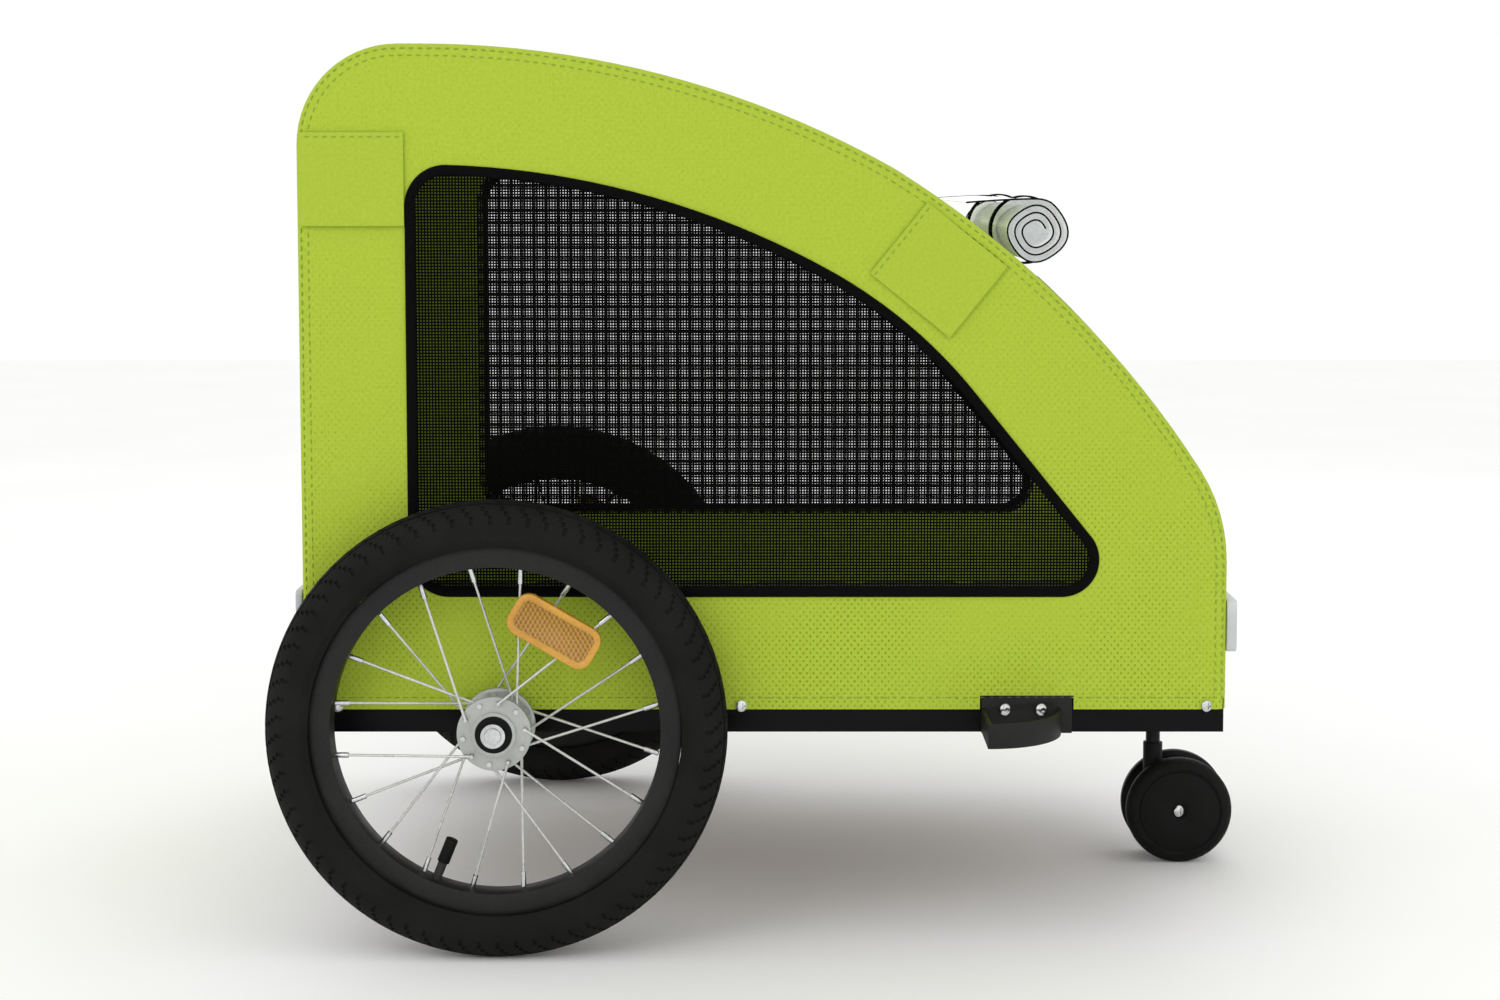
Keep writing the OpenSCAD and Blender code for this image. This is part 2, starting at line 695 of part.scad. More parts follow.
module hitch_bracket() {
    face = -rail_outer - bracket_t;
    top = rail_top + 1.3;
    loop_top = bolt_z + 1;
    arc_x = bracket_front + bracket_t / 2;
    color("#26282a") in_part() {
        difference() {
            box([bracket_front, bracket_front + bracket_length], [face, -rail_outer],
                [rail_bottom - 0.5, top]);
            for (x = bolt_x)
                cross_rod(bolt_d / 2 + hole_gap, x, bolt_z, face - 1, -rail_outer + 1);
        }
        translate([0, 0, loop_top - loop_h]) linear_extrude(loop_h) {
            translate([bracket_front, face - loop_reach]) square([bracket_t, loop_reach + 0.5]);
            translate([arc_x, face]) {
                intersection() {
                    difference() {
                        circle(loop_reach);
                        circle(loop_reach - bracket_t);
                    }
                    translate([0, -loop_reach]) square(loop_reach);
                }
                translate([loop_reach - bracket_t, -0.5]) square([bracket_t, 1]);
            }
        }
    }
}

module hitch_bolts() {
    face = -rail_outer - bracket_t;
    color("#2e3032") in_part() for (x = bolt_x) {
        translate([x, face, bolt_z]) rotate([90, 0, 0])
            dome_screw(11.7, 3.4, bolt_d, bracket_t + rail_w + 6);
        translate([x, -rail_inner + 4, bolt_z]) rotate([90, 0, 0]) difference() {
            cylinder(d = 8 / cos(30), h = 4, $fn = 6);
            translate([0, 0, -1]) cylinder(d = bolt_d + 0.06, h = 6, $fn = 48);
        }
    }
}

module rounded(w, h, r) {
    square([w - 2 * r, h], center = true);
    square([w, h - 2 * r], center = true);
    for (x = [-1, 1], y = [-1, 1]) translate([x * (w / 2 - r), y * (h / 2 - r)]) circle(r);
}
// A rounded plate that faces +X, from its back at the origin
module facing_plate(w, h, t) { rotate([90, 0, 90]) linear_extrude(t) rounded(w, h, 5); }
reflector_y = half_width - reflector_w / 2 - 4;
module front_reflectors() {
    color("#e8eaea") in_part() both_sides()
        translate([cabin_front, reflector_y,
                   fabric_bottom + front_reflector_rise + reflector_h / 2])
            facing_plate(reflector_w, reflector_h, front_reflector_t);
}
module rear_reflectors() {
    color("#b5232a") in_part() both_sides()
        translate([cabin_rear - rear_reflector_t, reflector_y,
                   fabric_bottom + rear_reflector_rise + reflector_h / 2])
            facing_plate(reflector_w, reflector_h, rear_reflector_t);
}

// ---- Caster ----

caster_inner = caster_gap / 2;
boss_bottom = collar_top - 50;
module caster_stem() {
    color("#202020") in_part() translate([swivel_x, 0, boss_bottom + 4])
        cylinder(d = stem_d, h = rail_bottom + rail_wall + socket_h - boss_bottom - 4);
}

module caster_fork() {
    web = 6;
    hub_r = caster_axle_d / 2 + 7;
    color("#131313") in_part() difference() {
        union() {
            translate([swivel_x, 0, boss_bottom])
                cylinder(d = collar_d, h = collar_top - boss_bottom);
            upright(-web, web) polygon([
                [swivel_x, collar_top - 14], [swivel_x, boss_bottom + 1],
                [caster_x, caster_z - hub_r / 2], [caster_x + hub_r * 0.8, caster_z],
                [caster_x + hub_r * 0.8, caster_z + 22],
                [swivel_x + collar_d / 2 + 12, collar_top - 22]
            ]);
            cross_rod(hub_r, caster_x, caster_z, -caster_inner + 0.3, caster_inner - 0.3);
        }
        translate([swivel_x, 0, boss_bottom + 3.5]) cylinder(r = stem_d / 2 + running_gap, h = 60);
        cross_rod(caster_axle_d / 2 + 0.02, caster_x, caster_z, -20, 20);
    }
}

module caster_axle() {
    half = caster_w / 2 - 2;
    color("#9b9ea0") in_part() difference() {
        cross_rod(caster_axle_d / 2, caster_x, caster_z, -half, half);
        for (s = [-1, 1])
            cross_rod(2.05, caster_x, caster_z, s * half - 12, s * half + 12);
    }
}

module caster_axle_screws() {
    color("#c9cbcc") in_part() both_sides()
        translate([caster_x, caster_w / 2 - 1.9, caster_z]) outwards_left()
            dome_screw(13, 2.4, 4, 11);
}

module caster_wheel(side) {
    outer = caster_w / 2;
    r = caster_d / 2;
    bevel = 4;
    color("#191919") in_part() on_side(side) translate([caster_x, 0, caster_z])
        rotate([-90, 0, 0]) difference() {
            rotate_extrude() difference() {
                polygon([
                    [0, caster_inner], [r - bevel, caster_inner], [r, caster_inner + bevel],
                    [r, outer - 6], [r - 2, outer - 2.5], [r - 6, outer], [0, outer]
                ]);
                translate([r - 13, outer - 1]) square([2, 3]);
            }
            cylinder(r = caster_axle_d / 2 + running_gap, h = 3 * outer, center = true);
            translate([0, 0, outer - 2]) cylinder(d = 14, h = 4);
        }
}

// ---- Wheels ----
// A wheel is drawn around its axis, with its outboard face towards +Z, and then stood up

module stand_wheel(side) {
    in_part() on_side(side) translate([axle_x, track / 2, axle_z]) rotate([-90, 0, 0])
        mirror([0, 1, 0]) children();
}

tube_r = tyre_w / 2;
tyre_mid = tyre_d / 2 - tube_r;
rim_edge = rim_edge_d / 2;
rim_inner = rim_inner_d / 2;
rim_bed = rim_inner + 4.5;
bead_w = 2.6;
bead_y = rim_w / 2 - 2.7;
bead_top = rim_edge + 4;
rim_gap = 0.3;
tyre_foot = rim_edge + rim_gap;
// The round part ends this far inside its middle. A taller tyre stands on straight side
// walls from there to the rim.
round_drop = 15.7;
round_foot = max(tyre_foot, tyre_mid - round_drop);
module tyre(side) {
    inner = tube_r - tyre_wall;
    wall_in = sqrt(max(0, pow(inner, 2) - pow(round_drop, 2)));
    wall_out = sqrt(pow(tube_r, 2) - pow(round_drop, 2));
    color("#20201e") stand_wheel(side) rotate_extrude() union() {
        intersection() {
            translate([tyre_mid, 0]) difference() {
                circle(tube_r);
                circle(inner);
            }
            translate([round_foot, -tyre_w]) square([tyre_w * 2, tyre_w * 2]);
        }
        if (round_foot > tyre_foot + 0.01) for (s = [-1, 1])
            translate([tyre_foot, s > 0 ? wall_in : -wall_out])
                square([round_foot - tyre_foot + 0.02, wall_out - wall_in]);
        for (s = [-1, 1]) {
            translate([rim_bed + 3, s * (bead_y - bead_w / 2) - bead_w / 2])
                square([bead_top - rim_bed - 3, bead_w]);
            translate([tyre_foot, s * (bead_y + 2) - bead_w])
                square([bead_top - tyre_foot, 2 * bead_w]);
        }
    }
}

valve_r = 4;
valve_tip = rim_inner - 26;
module inner_tube(side) {
    outer = tube_r - tyre_wall - lay_gap;
    color("#262626") stand_wheel(side) difference() {
        union() {
            rotate_extrude() intersection() {
                translate([tyre_mid, 0]) circle(outer);
                translate([bead_top + 0.5, -tyre_w]) square([tyre_w * 2, tyre_w * 2]);
            }
            rotate([0, 90, valve_angle]) translate([0, 0, valve_tip])
                cylinder(r = valve_r, h = tyre_mid - outer + 4 - valve_tip + 8);
        }
        rotate_extrude() intersection() {
            translate([tyre_mid, 0]) circle(outer - 1.2);
            translate([bead_top + 1.7, -tyre_w]) square([tyre_w * 2, tyre_w * 2]);
        }
        rotate([0, 90, valve_angle]) translate([0, 0, valve_tip - 1])
            cylinder(r = 1.2, h = tyre_mid - valve_tip);
    }
}

module valve_cap(side) {
    color("#111111") stand_wheel(side) rotate([0, 90, valve_angle])
        translate([0, 0, valve_tip - valve_cap_length + 10]) difference() {
            cylinder(r = valve_r + 1.4, h = valve_cap_length);
            translate([0, 0, valve_cap_length - 10.3]) cylinder(r = valve_r + 0.1, h = 12);
        }
}

module rim(side) {
    flange = 2.4;
    color("#2a2a2a") stand_wheel(side) difference() {
        rotate_extrude() difference() {
            translate([rim_inner, -rim_w / 2]) square([rim_edge - rim_inner, rim_w]);
            translate([rim_bed, -rim_w / 2 + flange])
                square([rim_edge - rim_bed + 1, rim_w - 2 * flange]);
        }
        rotate([0, 90, valve_angle]) translate([0, 0, rim_inner - 5])
            cylinder(r = valve_r + 0.2, h = 20);
    }
}

// Each flange has half of the spokes; every second one leaves from the flange's outer face.
// A spoke leans a full hole spacing from its hole in the flange to its place in the rim.
hole_r = flange_d / 2 - 5;
spoke_r = spoke_d / 2;
elbow_r = spoke_r + 0.3;
rim_reach = rim_inner - 0.6;
rim_offset = 3;
function spoke_side(i) = i % 2 == 0 ? 1 : -1;
function spoke_outer(i) = floor(i / 2) % 2;
spacing = 360 / spoke_count;
lean = 2 * spacing;
function spoke_angle(i) = (i + 0.5) * spacing;
function hub_angle(i) = spoke_angle(i) + (spoke_outer(i) == 1 ? lean : -lean);
outer_away = flange_t / 2 + spoke_r + 1.4;
inner_away = -flange_t / 2 - spoke_r - 0.4;
function hub_end(i) =
    let (away = spoke_outer(i) == 1 ? outer_away : inner_away)
    [hole_r * cos(hub_angle(i)), hole_r * sin(hub_angle(i)),
     spoke_side(i) * (flange_spacing / 2 + away)];
function rim_end(i) =
    [rim_reach * cos(spoke_angle(i)), rim_reach * sin(spoke_angle(i)),
     spoke_side(i) * rim_offset];
// Runs a rod from a towards b, from distance d0 to distance d1
module rod(a, b, r, d0, d1) {
    v = b - a;
    l = norm(v);
    translate(a) rotate([0, acos(v[2] / l), atan2(v[1], v[0])]) translate([0, 0, d0])
        cylinder(r = r, h = d1 - d0);
}

module spokes(side) {
    color("#c9c9c6") stand_wheel(side) for (i = [0:spoke_count - 1]) {
        a = hub_end(i);
        b = rim_end(i);
        out = spoke_outer(i) == 1 ? -1 : 1;
        head = [a[0], a[1], spoke_side(i) * (flange_spacing / 2 + out * (flange_t / 2 + 0.7))];
        union() {
            rod(a, b, spoke_r, 0, norm(b - a) - 2);
            rod(a, head, elbow_r, -elbow_r, norm(head - a));
            translate(head) cylinder(r = elbow_r + 0.7, h = 1, center = true);
        }
    }
}

module nipples(side) {
    color("#b9bbbb") stand_wheel(side) for (i = [0:spoke_count - 1]) {
        a = hub_end(i);
        b = rim_end(i);
        l = norm(b - a);
        difference() {
            rod(a, b, nipple_d / 2, l - nipple_length, l - 0.4);
            rod(a, b, spoke_r + 0.05, l - nipple_length - 1, l - 1.8);
        }
    }
}

module hub(side) {
    half = hub_length / 2;
    color("#afb6b4") stand_wheel(side) difference() {
        union() {
            cylinder(d = barrel_d, h = hub_length - 4, center = true);
            cylinder(d = bearing_d + 6, h = hub_length, center = true);
            for (s = [-1, 1]) translate([0, 0, s * flange_spacing / 2])
                cylinder(d = flange_d, h = flange_t, center = true);
        }
        cylinder(d = bearing_d - 7, h = hub_length + 2, center = true);
        for (s = [-1, 1]) translate([0, 0, s * (half - bearing_w / 2)])
            cylinder(d = bearing_d + 0.04, h = bearing_w + 0.6, center = true);
        for (i = [0:spoke_count - 1])
            translate([hub_end(i)[0], hub_end(i)[1], spoke_side(i) * flange_spacing / 2])
                cylinder(r = elbow_r + 0.15, h = flange_t + 2, center = true);
    }
}

module bearings(side) {
    color("#181818") stand_wheel(side) for (s = [-1, 1])
        translate([0, 0, s * (hub_length / 2 - bearing_w / 2 - 0.3)]) difference() {
            cylinder(d = bearing_d, h = bearing_w, center = true);
            cylinder(r = axle_d / 2, h = bearing_w + 2, center = true);
        }
}

head_z = hub_length / 2 + 0.8;
head_h = 5.6;
button_floor = head_z + 1.4;
button_bottom = button_floor + button_travel + 0.15;
button_top = head_z + head_h + button_travel + 0.1;
module axle(side) {
    color("#c3c6c7") stand_wheel(side) difference() {
        union() {
            translate([0, 0, -axle_reach])
                cylinder(r = axle_d / 2 - running_gap, h = axle_reach + head_z + 1);
            translate([0, 0, hub_length / 2 - 0.25]) cylinder(d = axle_d + 4, h = 2);
            translate([0, 0, head_z]) cylinder(d = axle_head_d, h = head_h);
        }
        translate([0, 0, button_floor]) cylinder(r = button_d / 2 + running_gap, h = 20);
        translate([0, 0, -axle_reach - 1]) cylinder(r = 2 + running_gap, h = 300);
        translate([-axle_d, 0, -axle_reach + 12]) rotate([0, 90, 0])
            cylinder(r = ball_r + 0.05, h = 2 * axle_d);
    }
}

// The button's rod holds the two balls apart until it is pressed in
module release_button(side) {
    color("#cfd2d3") stand_wheel(side) difference() {
        union() {
            translate([0, 0, button_bottom])
                cylinder(d = button_d, h = button_top - button_bottom);
            translate([0, 0, -axle_reach + 5]) cylinder(r = 2, h = axle_reach - 5 + button_bottom);
        }
        translate([0, 0, -axle_reach + 12 + button_travel]) rotate_extrude()
            translate([1.2, -1.5]) square([3, 3]);
    }
}

module lock_balls(side) {
    color("#d8dadb") stand_wheel(side) for (s = [-1, 1])
        translate([s * (2 + ball_r + 0.05), 0, -axle_reach + 12]) sphere(ball_r);
}

// The reflector is clipped on outside the spokes
module spoke_reflector(side) {
    share = (rim_reach - spoke_reflector_r + spoke_reflector_h / 2) / (rim_reach - hole_r);
    back = rim_offset + (outer_away + flange_spacing / 2 - rim_offset) * share + spoke_r + 0.3;
    color("#c89128") stand_wheel(side) rotate([0, 0, spoke_reflector_angle])
        translate([spoke_reflector_r, 0, back]) rotate([0, 0, 90])
            linear_extrude(spoke_reflector_t) rounded(spoke_reflector_l, spoke_reflector_h, 12);
}

rail(-1);  // right_rail
rail(1);  // left_rail
crossmembers();
axle_tube();
floor_board();
floor_pad();
hoop(-1);  // right_hoop
hoop(1);  // left_hoop
tube_plugs();
crossbars();
crossbar_screws();
side_panel(-1);  // right_side_panel
side_panel(1);  // left_side_panel
window_meshes();
window_trims();
rear_panel();
roof_panel();
front_panel();
doorway_trim();
rolled_cover();
cover_straps();
fabric_screws();
hitch_bracket();
hitch_bolts();
front_reflectors();
rear_reflectors();
rear_flap(-1);  // right_rear_flap
front_flap(-1);  // right_front_flap
rear_flap(1);  // left_rear_flap
front_flap(1);  // left_front_flap
caster_stem();
caster_fork();
caster_axle();
caster_axle_screws();
caster_wheel(-1);  // right_caster_wheel
caster_wheel(1);  // left_caster_wheel
tyre(-1);  // right_tyre
inner_tube(-1);  // right_inner_tube
valve_cap(-1);  // right_valve_cap
rim(-1);  // right_rim
spokes(-1);  // right_spokes
nipples(-1);  // right_nipples
hub(-1);  // right_hub
bearings(-1);  // right_bearings
spoke_reflector(-1);  // right_spoke_reflector
axle(-1);  // right_axle
release_button(-1);  // right_release_button
lock_balls(-1);  // right_lock_balls
tyre(1);  // left_tyre
inner_tube(1);  // left_inner_tube
valve_cap(1);  // left_valve_cap
rim(1);  // left_rim
spokes(1);  // left_spokes
nipples(1);  // left_nipples
hub(1);  // left_hub
bearings(1);  // left_bearings
spoke_reflector(1);  // left_spoke_reflector
axle(1);  // left_axle
release_button(1);  // left_release_button
lock_balls(1);  // left_lock_balls
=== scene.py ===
# %% [markdown]
# # A bicycle trailer around its CAD frame
# The frame holds every hard part at its real place. This lesson gives the trailer its looks: a
# sewn cover, nets, tyres with tread, lenses and screws are modelled, and every part gets a
# finish named for its real material. All lengths are in metres.

# %% Load the frame
import json
import math

import bmesh
import bpy
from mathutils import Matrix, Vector, noise

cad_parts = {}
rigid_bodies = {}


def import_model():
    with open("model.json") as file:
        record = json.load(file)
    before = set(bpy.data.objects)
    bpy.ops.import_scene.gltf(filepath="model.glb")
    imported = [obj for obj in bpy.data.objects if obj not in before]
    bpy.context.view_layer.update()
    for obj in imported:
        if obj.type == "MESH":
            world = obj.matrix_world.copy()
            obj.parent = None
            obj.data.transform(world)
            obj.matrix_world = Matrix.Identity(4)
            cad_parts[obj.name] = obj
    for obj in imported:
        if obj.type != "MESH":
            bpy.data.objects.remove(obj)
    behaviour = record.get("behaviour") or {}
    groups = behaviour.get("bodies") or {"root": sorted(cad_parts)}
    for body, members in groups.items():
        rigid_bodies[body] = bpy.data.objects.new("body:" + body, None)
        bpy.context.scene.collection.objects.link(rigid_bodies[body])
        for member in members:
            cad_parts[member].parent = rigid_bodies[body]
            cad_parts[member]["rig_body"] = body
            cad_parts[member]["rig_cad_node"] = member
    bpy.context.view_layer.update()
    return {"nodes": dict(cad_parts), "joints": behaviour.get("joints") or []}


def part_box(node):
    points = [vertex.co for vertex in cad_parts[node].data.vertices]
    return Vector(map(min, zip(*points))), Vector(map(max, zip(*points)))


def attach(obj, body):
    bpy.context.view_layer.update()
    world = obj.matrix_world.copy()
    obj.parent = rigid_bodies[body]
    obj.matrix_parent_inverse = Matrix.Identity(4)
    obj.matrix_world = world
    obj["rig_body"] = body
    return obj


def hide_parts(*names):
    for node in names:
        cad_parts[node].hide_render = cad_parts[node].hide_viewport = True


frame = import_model()
MM = 0.001
SIDES = {"right": -1, "left": 1}
print("pieces in the frame:", len(frame["nodes"]))

# %% [markdown]
# ## Selecting
# Operators act on what is selected, and the import leaves everything selected. So each step
# selects just its own piece, and faces or edges are picked by where they lie and face.


# %% Selection helpers
def only(obj):
    """Selects one object and makes it active."""
    bpy.ops.object.select_all(action="DESELECT")
    obj.select_set(True)
    bpy.context.view_layer.objects.active = obj
    return obj


def edit(obj):
    """Goes into edit mode with everything selected."""
    only(obj)
    bpy.ops.object.mode_set(mode="EDIT")
    bpy.ops.mesh.select_mode(type="VERT")
    bpy.ops.mesh.select_all(action="SELECT")


def leave_edit():
    bpy.ops.object.mode_set(mode="OBJECT")


def pick_faces(obj, test):
    """In edit mode, selects the faces whose centre and normal pass the test."""
    bpy.ops.mesh.select_all(action="DESELECT")
    bpy.ops.mesh.select_mode(type="FACE")
    mesh = bmesh.from_edit_mesh(obj.data)
    for face in mesh.faces:
        face.select_set(test(face.calc_center_median(), face.normal))
    bmesh.update_edit_mesh(obj.data)


def pick_edges(obj, test):
    """In edit mode, selects the edges between two faces whose normals pass the test."""
    bpy.ops.mesh.select_all(action="DESELECT")
    bpy.ops.mesh.select_mode(type="EDGE")
    mesh = bmesh.from_edit_mesh(obj.data)
    for edge in mesh.edges:
        faces = edge.link_faces
        edge.select_set(len(faces) == 2 and test(faces[0].normal, faces[1].normal))
    bmesh.update_edit_mesh(obj.data)


def settle(obj, name):
    """Names a finished piece and moves its place from the object into the mesh."""
    only(obj)
    if obj.type != "MESH":
        bpy.ops.object.convert(target="MESH")
    bpy.ops.object.transform_apply(location=True, rotation=True, scale=True)
    obj.name = name
    return obj


def use(obj, kind, **settings):
    """Adds a modifier with its settings and applies it."""
    only(obj)
    modifier = obj.modifiers.new(kind.lower(), kind)
    for key, value in settings.items():
        setattr(modifier, key, value)
    bpy.ops.object.modifier_apply(modifier=modifier.name)


def smooth(obj, degrees=35):
    """Shades smooth, except over edges that are sharper than the angle."""
    only(obj)
    bpy.ops.object.shade_smooth_by_angle(angle=math.radians(degrees))


def joined(parts, name):
    """Joins several meshes into one piece."""
    only(parts[0])
    for part in parts[1:]:
        part.select_set(True)
    bpy.ops.object.join()
    return settle(parts[0], name)


# %% [markdown]
# ## Camera, floor and light
# The camera stands to the trailer's right, level with the window, and looks a little down at
# its middle. A pale floor and a bright even sky give the flat light of a product shot, and
# two large lamps near the camera shape the round parts. A third lights the far side.

# %% Camera
CAMERA_PLACE = (-0.0117, -2.486, 0.673)
CAMERA_LENS = 60.80
CAMERA_TILT = 4.6
CAMERA_SHIFT = (-0.0121, -0.0772)
bpy.ops.object.select_all(action="DESELECT")
bpy.ops.object.camera_add(
    location=CAMERA_PLACE, rotation=(math.radians(90 - CAMERA_TILT), 0, 0)
)
camera = bpy.context.object
camera.data.lens = CAMERA_LENS
camera.data.shift_x, camera.data.shift_y = CAMERA_SHIFT
camera.data.dof.use_dof = False
bpy.context.scene.camera = camera
print("camera stands", -CAMERA_PLACE[1], "m from the trailer's middle")


# %% Colour and node helpers
def colour(code, alpha=1.0):
    """Turns an sRGB hex colour into the linear values that shaders take."""
    channels = [int(code[i:i + 2], 16) / 255 for i in (1, 3, 5)]
    linear = [c / 12.92 if c <= 0.04045 else ((c + 0.055) / 1.055) ** 2.4 for c in channels]
    return (*linear, alpha)


def add(material, kind, values=None, links=None):
    """Adds a node, sets its sockets and settings, and links its inputs."""
    node = material.node_tree.nodes.new(kind)
    for key, value in (values or {}).items():
        if isinstance(key, int) or key in node.inputs:
            node.inputs[key].default_value = value
        else:
            setattr(node, key, value)
    for key, source in (links or {}).items():
        material.node_tree.links.new(source, node.inputs[key])
    return node


def finish(name, base, roughness, metallic=0.0, **sockets):
    """Starts a material: its one shader with the values that are even all over."""
    material = bpy.data.materials.new(name)
    material.use_nodes = True
    material.diffuse_color = colour(base)
    shader = material.node_tree.nodes["Principled BSDF"]
    shader.inputs["Base Color"].default_value = colour(base)
    shader.inputs["Roughness"].default_value = roughness
    shader.inputs["Metallic"].default_value = metallic
    for key, value in sockets.items():
        shader.inputs[key.replace("_", " ")].default_value = value
    return material, shader


def ramp(material, source, stops):
    """A colour ramp from a value, with (place, hex colour) stops."""
    node = add(material, "ShaderNodeValToRGB", links={"Fac": source})
    elements = node.color_ramp.elements
    while len(elements) < len(stops):
        elements.new(1.0)
    for element, (place, code) in zip(elements, stops):
        element.position = place
        element.color = colour(code)
    return node.outputs["Color"]


def link(material, source, shader, socket):
    material.node_tree.links.new(source, shader.inputs[socket])


def bump(material, shader, height, depth, strength=1.0):
    """Raises the surface by a height from 0 to 1, times the depth in metres."""
    node = add(material, "ShaderNodeBump", {"Strength": strength, "Distance": depth},
               {"Height": height})
    link(material, node.outputs["Normal"], shader, "Normal")


def place(material, kind="Object"):
    return add(material, "ShaderNodeTexCoord").outputs[kind]


def grain(material, coords, size, detail=3.0):
    """Noise whose blobs are about the given size across."""
    node = add(material, "ShaderNodeTexNoise", {"Scale": 1 / size, "Detail": detail},
               {"Vector": coords})
    return node.outputs["Fac"]


def ripple(material, coords, direction):
    """A cosine that repeats along a direction, given as waves per metre on each axis."""
    turns = [2 * math.pi * d for d in direction]
    dot = add(material, "ShaderNodeVectorMath", {"operation": "DOT_PRODUCT", 1: turns},
              {0: coords})
    wave = add(material, "ShaderNodeMath", {"operation": "COSINE"},
               {0: dot.outputs["Value"]})
    return wave.outputs["Value"]


def reckon(material, operation, a, b):
    """One sum on two values; each is a number or another node's output."""
    node = add(material, "ShaderNodeMath", {"operation": operation})
    for socket, value in ((0, a), (1, b)):
        if isinstance(value, (int, float)):
            node.inputs[socket].default_value = value
        else:
            material.node_tree.links.new(value, node.inputs[socket])
    return node.outputs["Value"]


def remap(material, source, low, high, to_low=0.0, to_high=1.0):
    node = add(material, "ShaderNodeMapRange",
               {1: low, 2: high, 3: to_low, 4: to_high}, {0: source})
    return node.outputs["Result"]


# %% Floor and light
FLOOR_SIZE = 14.0
bpy.ops.mesh.primitive_plane_add(size=FLOOR_SIZE)
floor = bpy.context.object
floor.name = "studio_floor"
paper, paper_shader = finish("studio_paper", "#FAFAF9", 0.9)
link(paper, ramp(paper, grain(paper, place(paper), 400 * MM),
                 [(0.3, "#F9F9F8"), (0.7, "#FCFCFB")]), paper_shader, "Base Color")
floor.data.materials.append(paper)

world = bpy.data.worlds.new("studio_sky")
bpy.context.scene.world = world
world.use_nodes = True
sky = world.node_tree.nodes["Background"]
sky.inputs["Color"].default_value = (1.0, 1.0, 1.0, 1.0)
sky.inputs["Strength"].default_value = 1.0
bpy.context.scene.view_settings.view_transform = "Standard"


def lamp(name, location, target, size, watts):
    bpy.ops.object.light_add(type="AREA", location=location)
    light = bpy.context.object
    light.name = name
    light.data.size = size
    light.data.energy = watts
    aim = Vector(target) - Vector(location)
    light.rotation_euler = aim.to_track_quat("-Z", "Y").to_euler()


MIDDLE = (0.0, 0.0, 0.4)
lamp("key", (-1.6, -2.6, 2.3), MIDDLE, 1.8, 13)
lamp("fill", (1.9, -2.4, 1.2), MIDDLE, 2.2, 5)
lamp("back", (0.5, 2.4, 2.4), MIDDLE, 2.0, 8)

# %% [markdown]
# ## The cover's cloth
# The cover is lime polyester with a coating on its back. Its box weave leaves small dimples in
# slanting rows, about 6 mm apart, which are deepest low down where the cloth is slack. Each
# dimple is also painted darker than the cloth round it, as painted shade in its hollow. The
# pattern follows a flat projection of each side of the cover, and so it runs on over wrinkles.

# %% Lime polyester
DIMPLE_PITCH = 6.0 * MM
DIMPLE_ROW = 3.6 * MM
THREAD = 1.4 * MM


def lime_polyester(name, dimples, stops):
    material, shader = finish(name, "#ABC145", 0.85, Specular_IOR_Level=0.08,
                              Sheen_Weight=0.03, Sheen_Roughness=0.5)
    uv = place(material, "UV")
    across, up = 1 / DIMPLE_PITCH, 1 / (2 * DIMPLE_ROW)
    lattice = reckon(material, "ADD", ripple(material, uv, (across, up, 0)),
                     ripple(material, uv, (across, -up, 0)))
    dots = remap(material, lattice, 0.9, 1.9)
    height = add(material, "ShaderNodeSeparateXYZ", links={"Vector": place(material)})
    low = remap(material, height.outputs["Z"], 0.62, 0.24, 0.18, 1.0)
    patches = remap(material, grain(material, place(material), 90 * MM), 0.35, 0.65, 0.3, 1.0)
    strength = reckon(material, "MULTIPLY", reckon(material, "MULTIPLY", low, patches), dimples)
    sunk = reckon(material, "MULTIPLY", dots, strength)
    weave = reckon(material, "ADD", ripple(material, uv, (1 / THREAD, 0, 0)),
                   ripple(material, uv, (0, 1 / THREAD, 0)))
    mottle = remap(material, grain(material, place(material), 3 * MM, 2), 0.3, 0.7, 0.0, 0.22)
    # The dimples' depth is painted into the colour: painted shade in their hollows, so the cloth
    # is painted darker towards the bottom where they are deepest.
    tone = reckon(material, "ADD", reckon(material, "MULTIPLY", sunk, 0.75), mottle)
    link(material, ramp(material, tone, stops), shader, "Base Color")
    relief = reckon(material, "SUBTRACT", reckon(material, "MULTIPLY", weave, 0.12), sunk)
    bump(material, shader, relief, 0.35 * MM, 0.8)
    return material


# The two darker stops are painted shade in the dimples; the two lighter ones are the cloth's own
# colour.
COVER_STOPS = [(0.0, "#ADC241"), (0.2, "#A5BA39"), (0.75, "#7C931F"), (1.0, "#687F16")]
cover_cloth = lime_polyester("coated_lime_polyester", 1.0, COVER_STOPS)
patch_cloth = lime_polyester("plain_lime_polyester", 0.0,
                             [(0.0, "#ABC040"), (0.2, "#A4B93A"), (1.0, "#8AA02C")])

# The inner coating glows a little, for the daylight that passes through thin cloth.
GLOW = 0.07
lining, lining_shader = finish("coated_lime_lining", "#A7BC42", 0.7, Specular_IOR_Level=0.1,
                               Emission_Strength=GLOW)
lining_tone = ramp(lining, grain(lining, place(lining), 4 * MM),
                   [(0.3, "#9FB43B"), (0.7, "#AFC448")])
link(lining, lining_tone, lining_shader, "Base Color")
link(lining, lining_tone, lining_shader, "Emission Color")

thread, thread_shader = finish("lime_sewing_thread", "#8BA033", 0.7)
twist = ripple(thread, place(thread), (700, 0, 700))
link(thread, ramp(thread, remap(thread, twist, -1, 1), [(0.0, "#78902A"), (1.0, "#93A93A")]),
     thread_shader, "Base Color")

# %% [markdown]
# ## Net, binding and film
# The windows are black polyester net with square holes. The real holes are about a
# millimetre apart, and they are drawn 2.7 mm apart so that they still show in a picture of
# the whole trailer. The binding is folded black webbing, and the rain cover is clear vinyl.

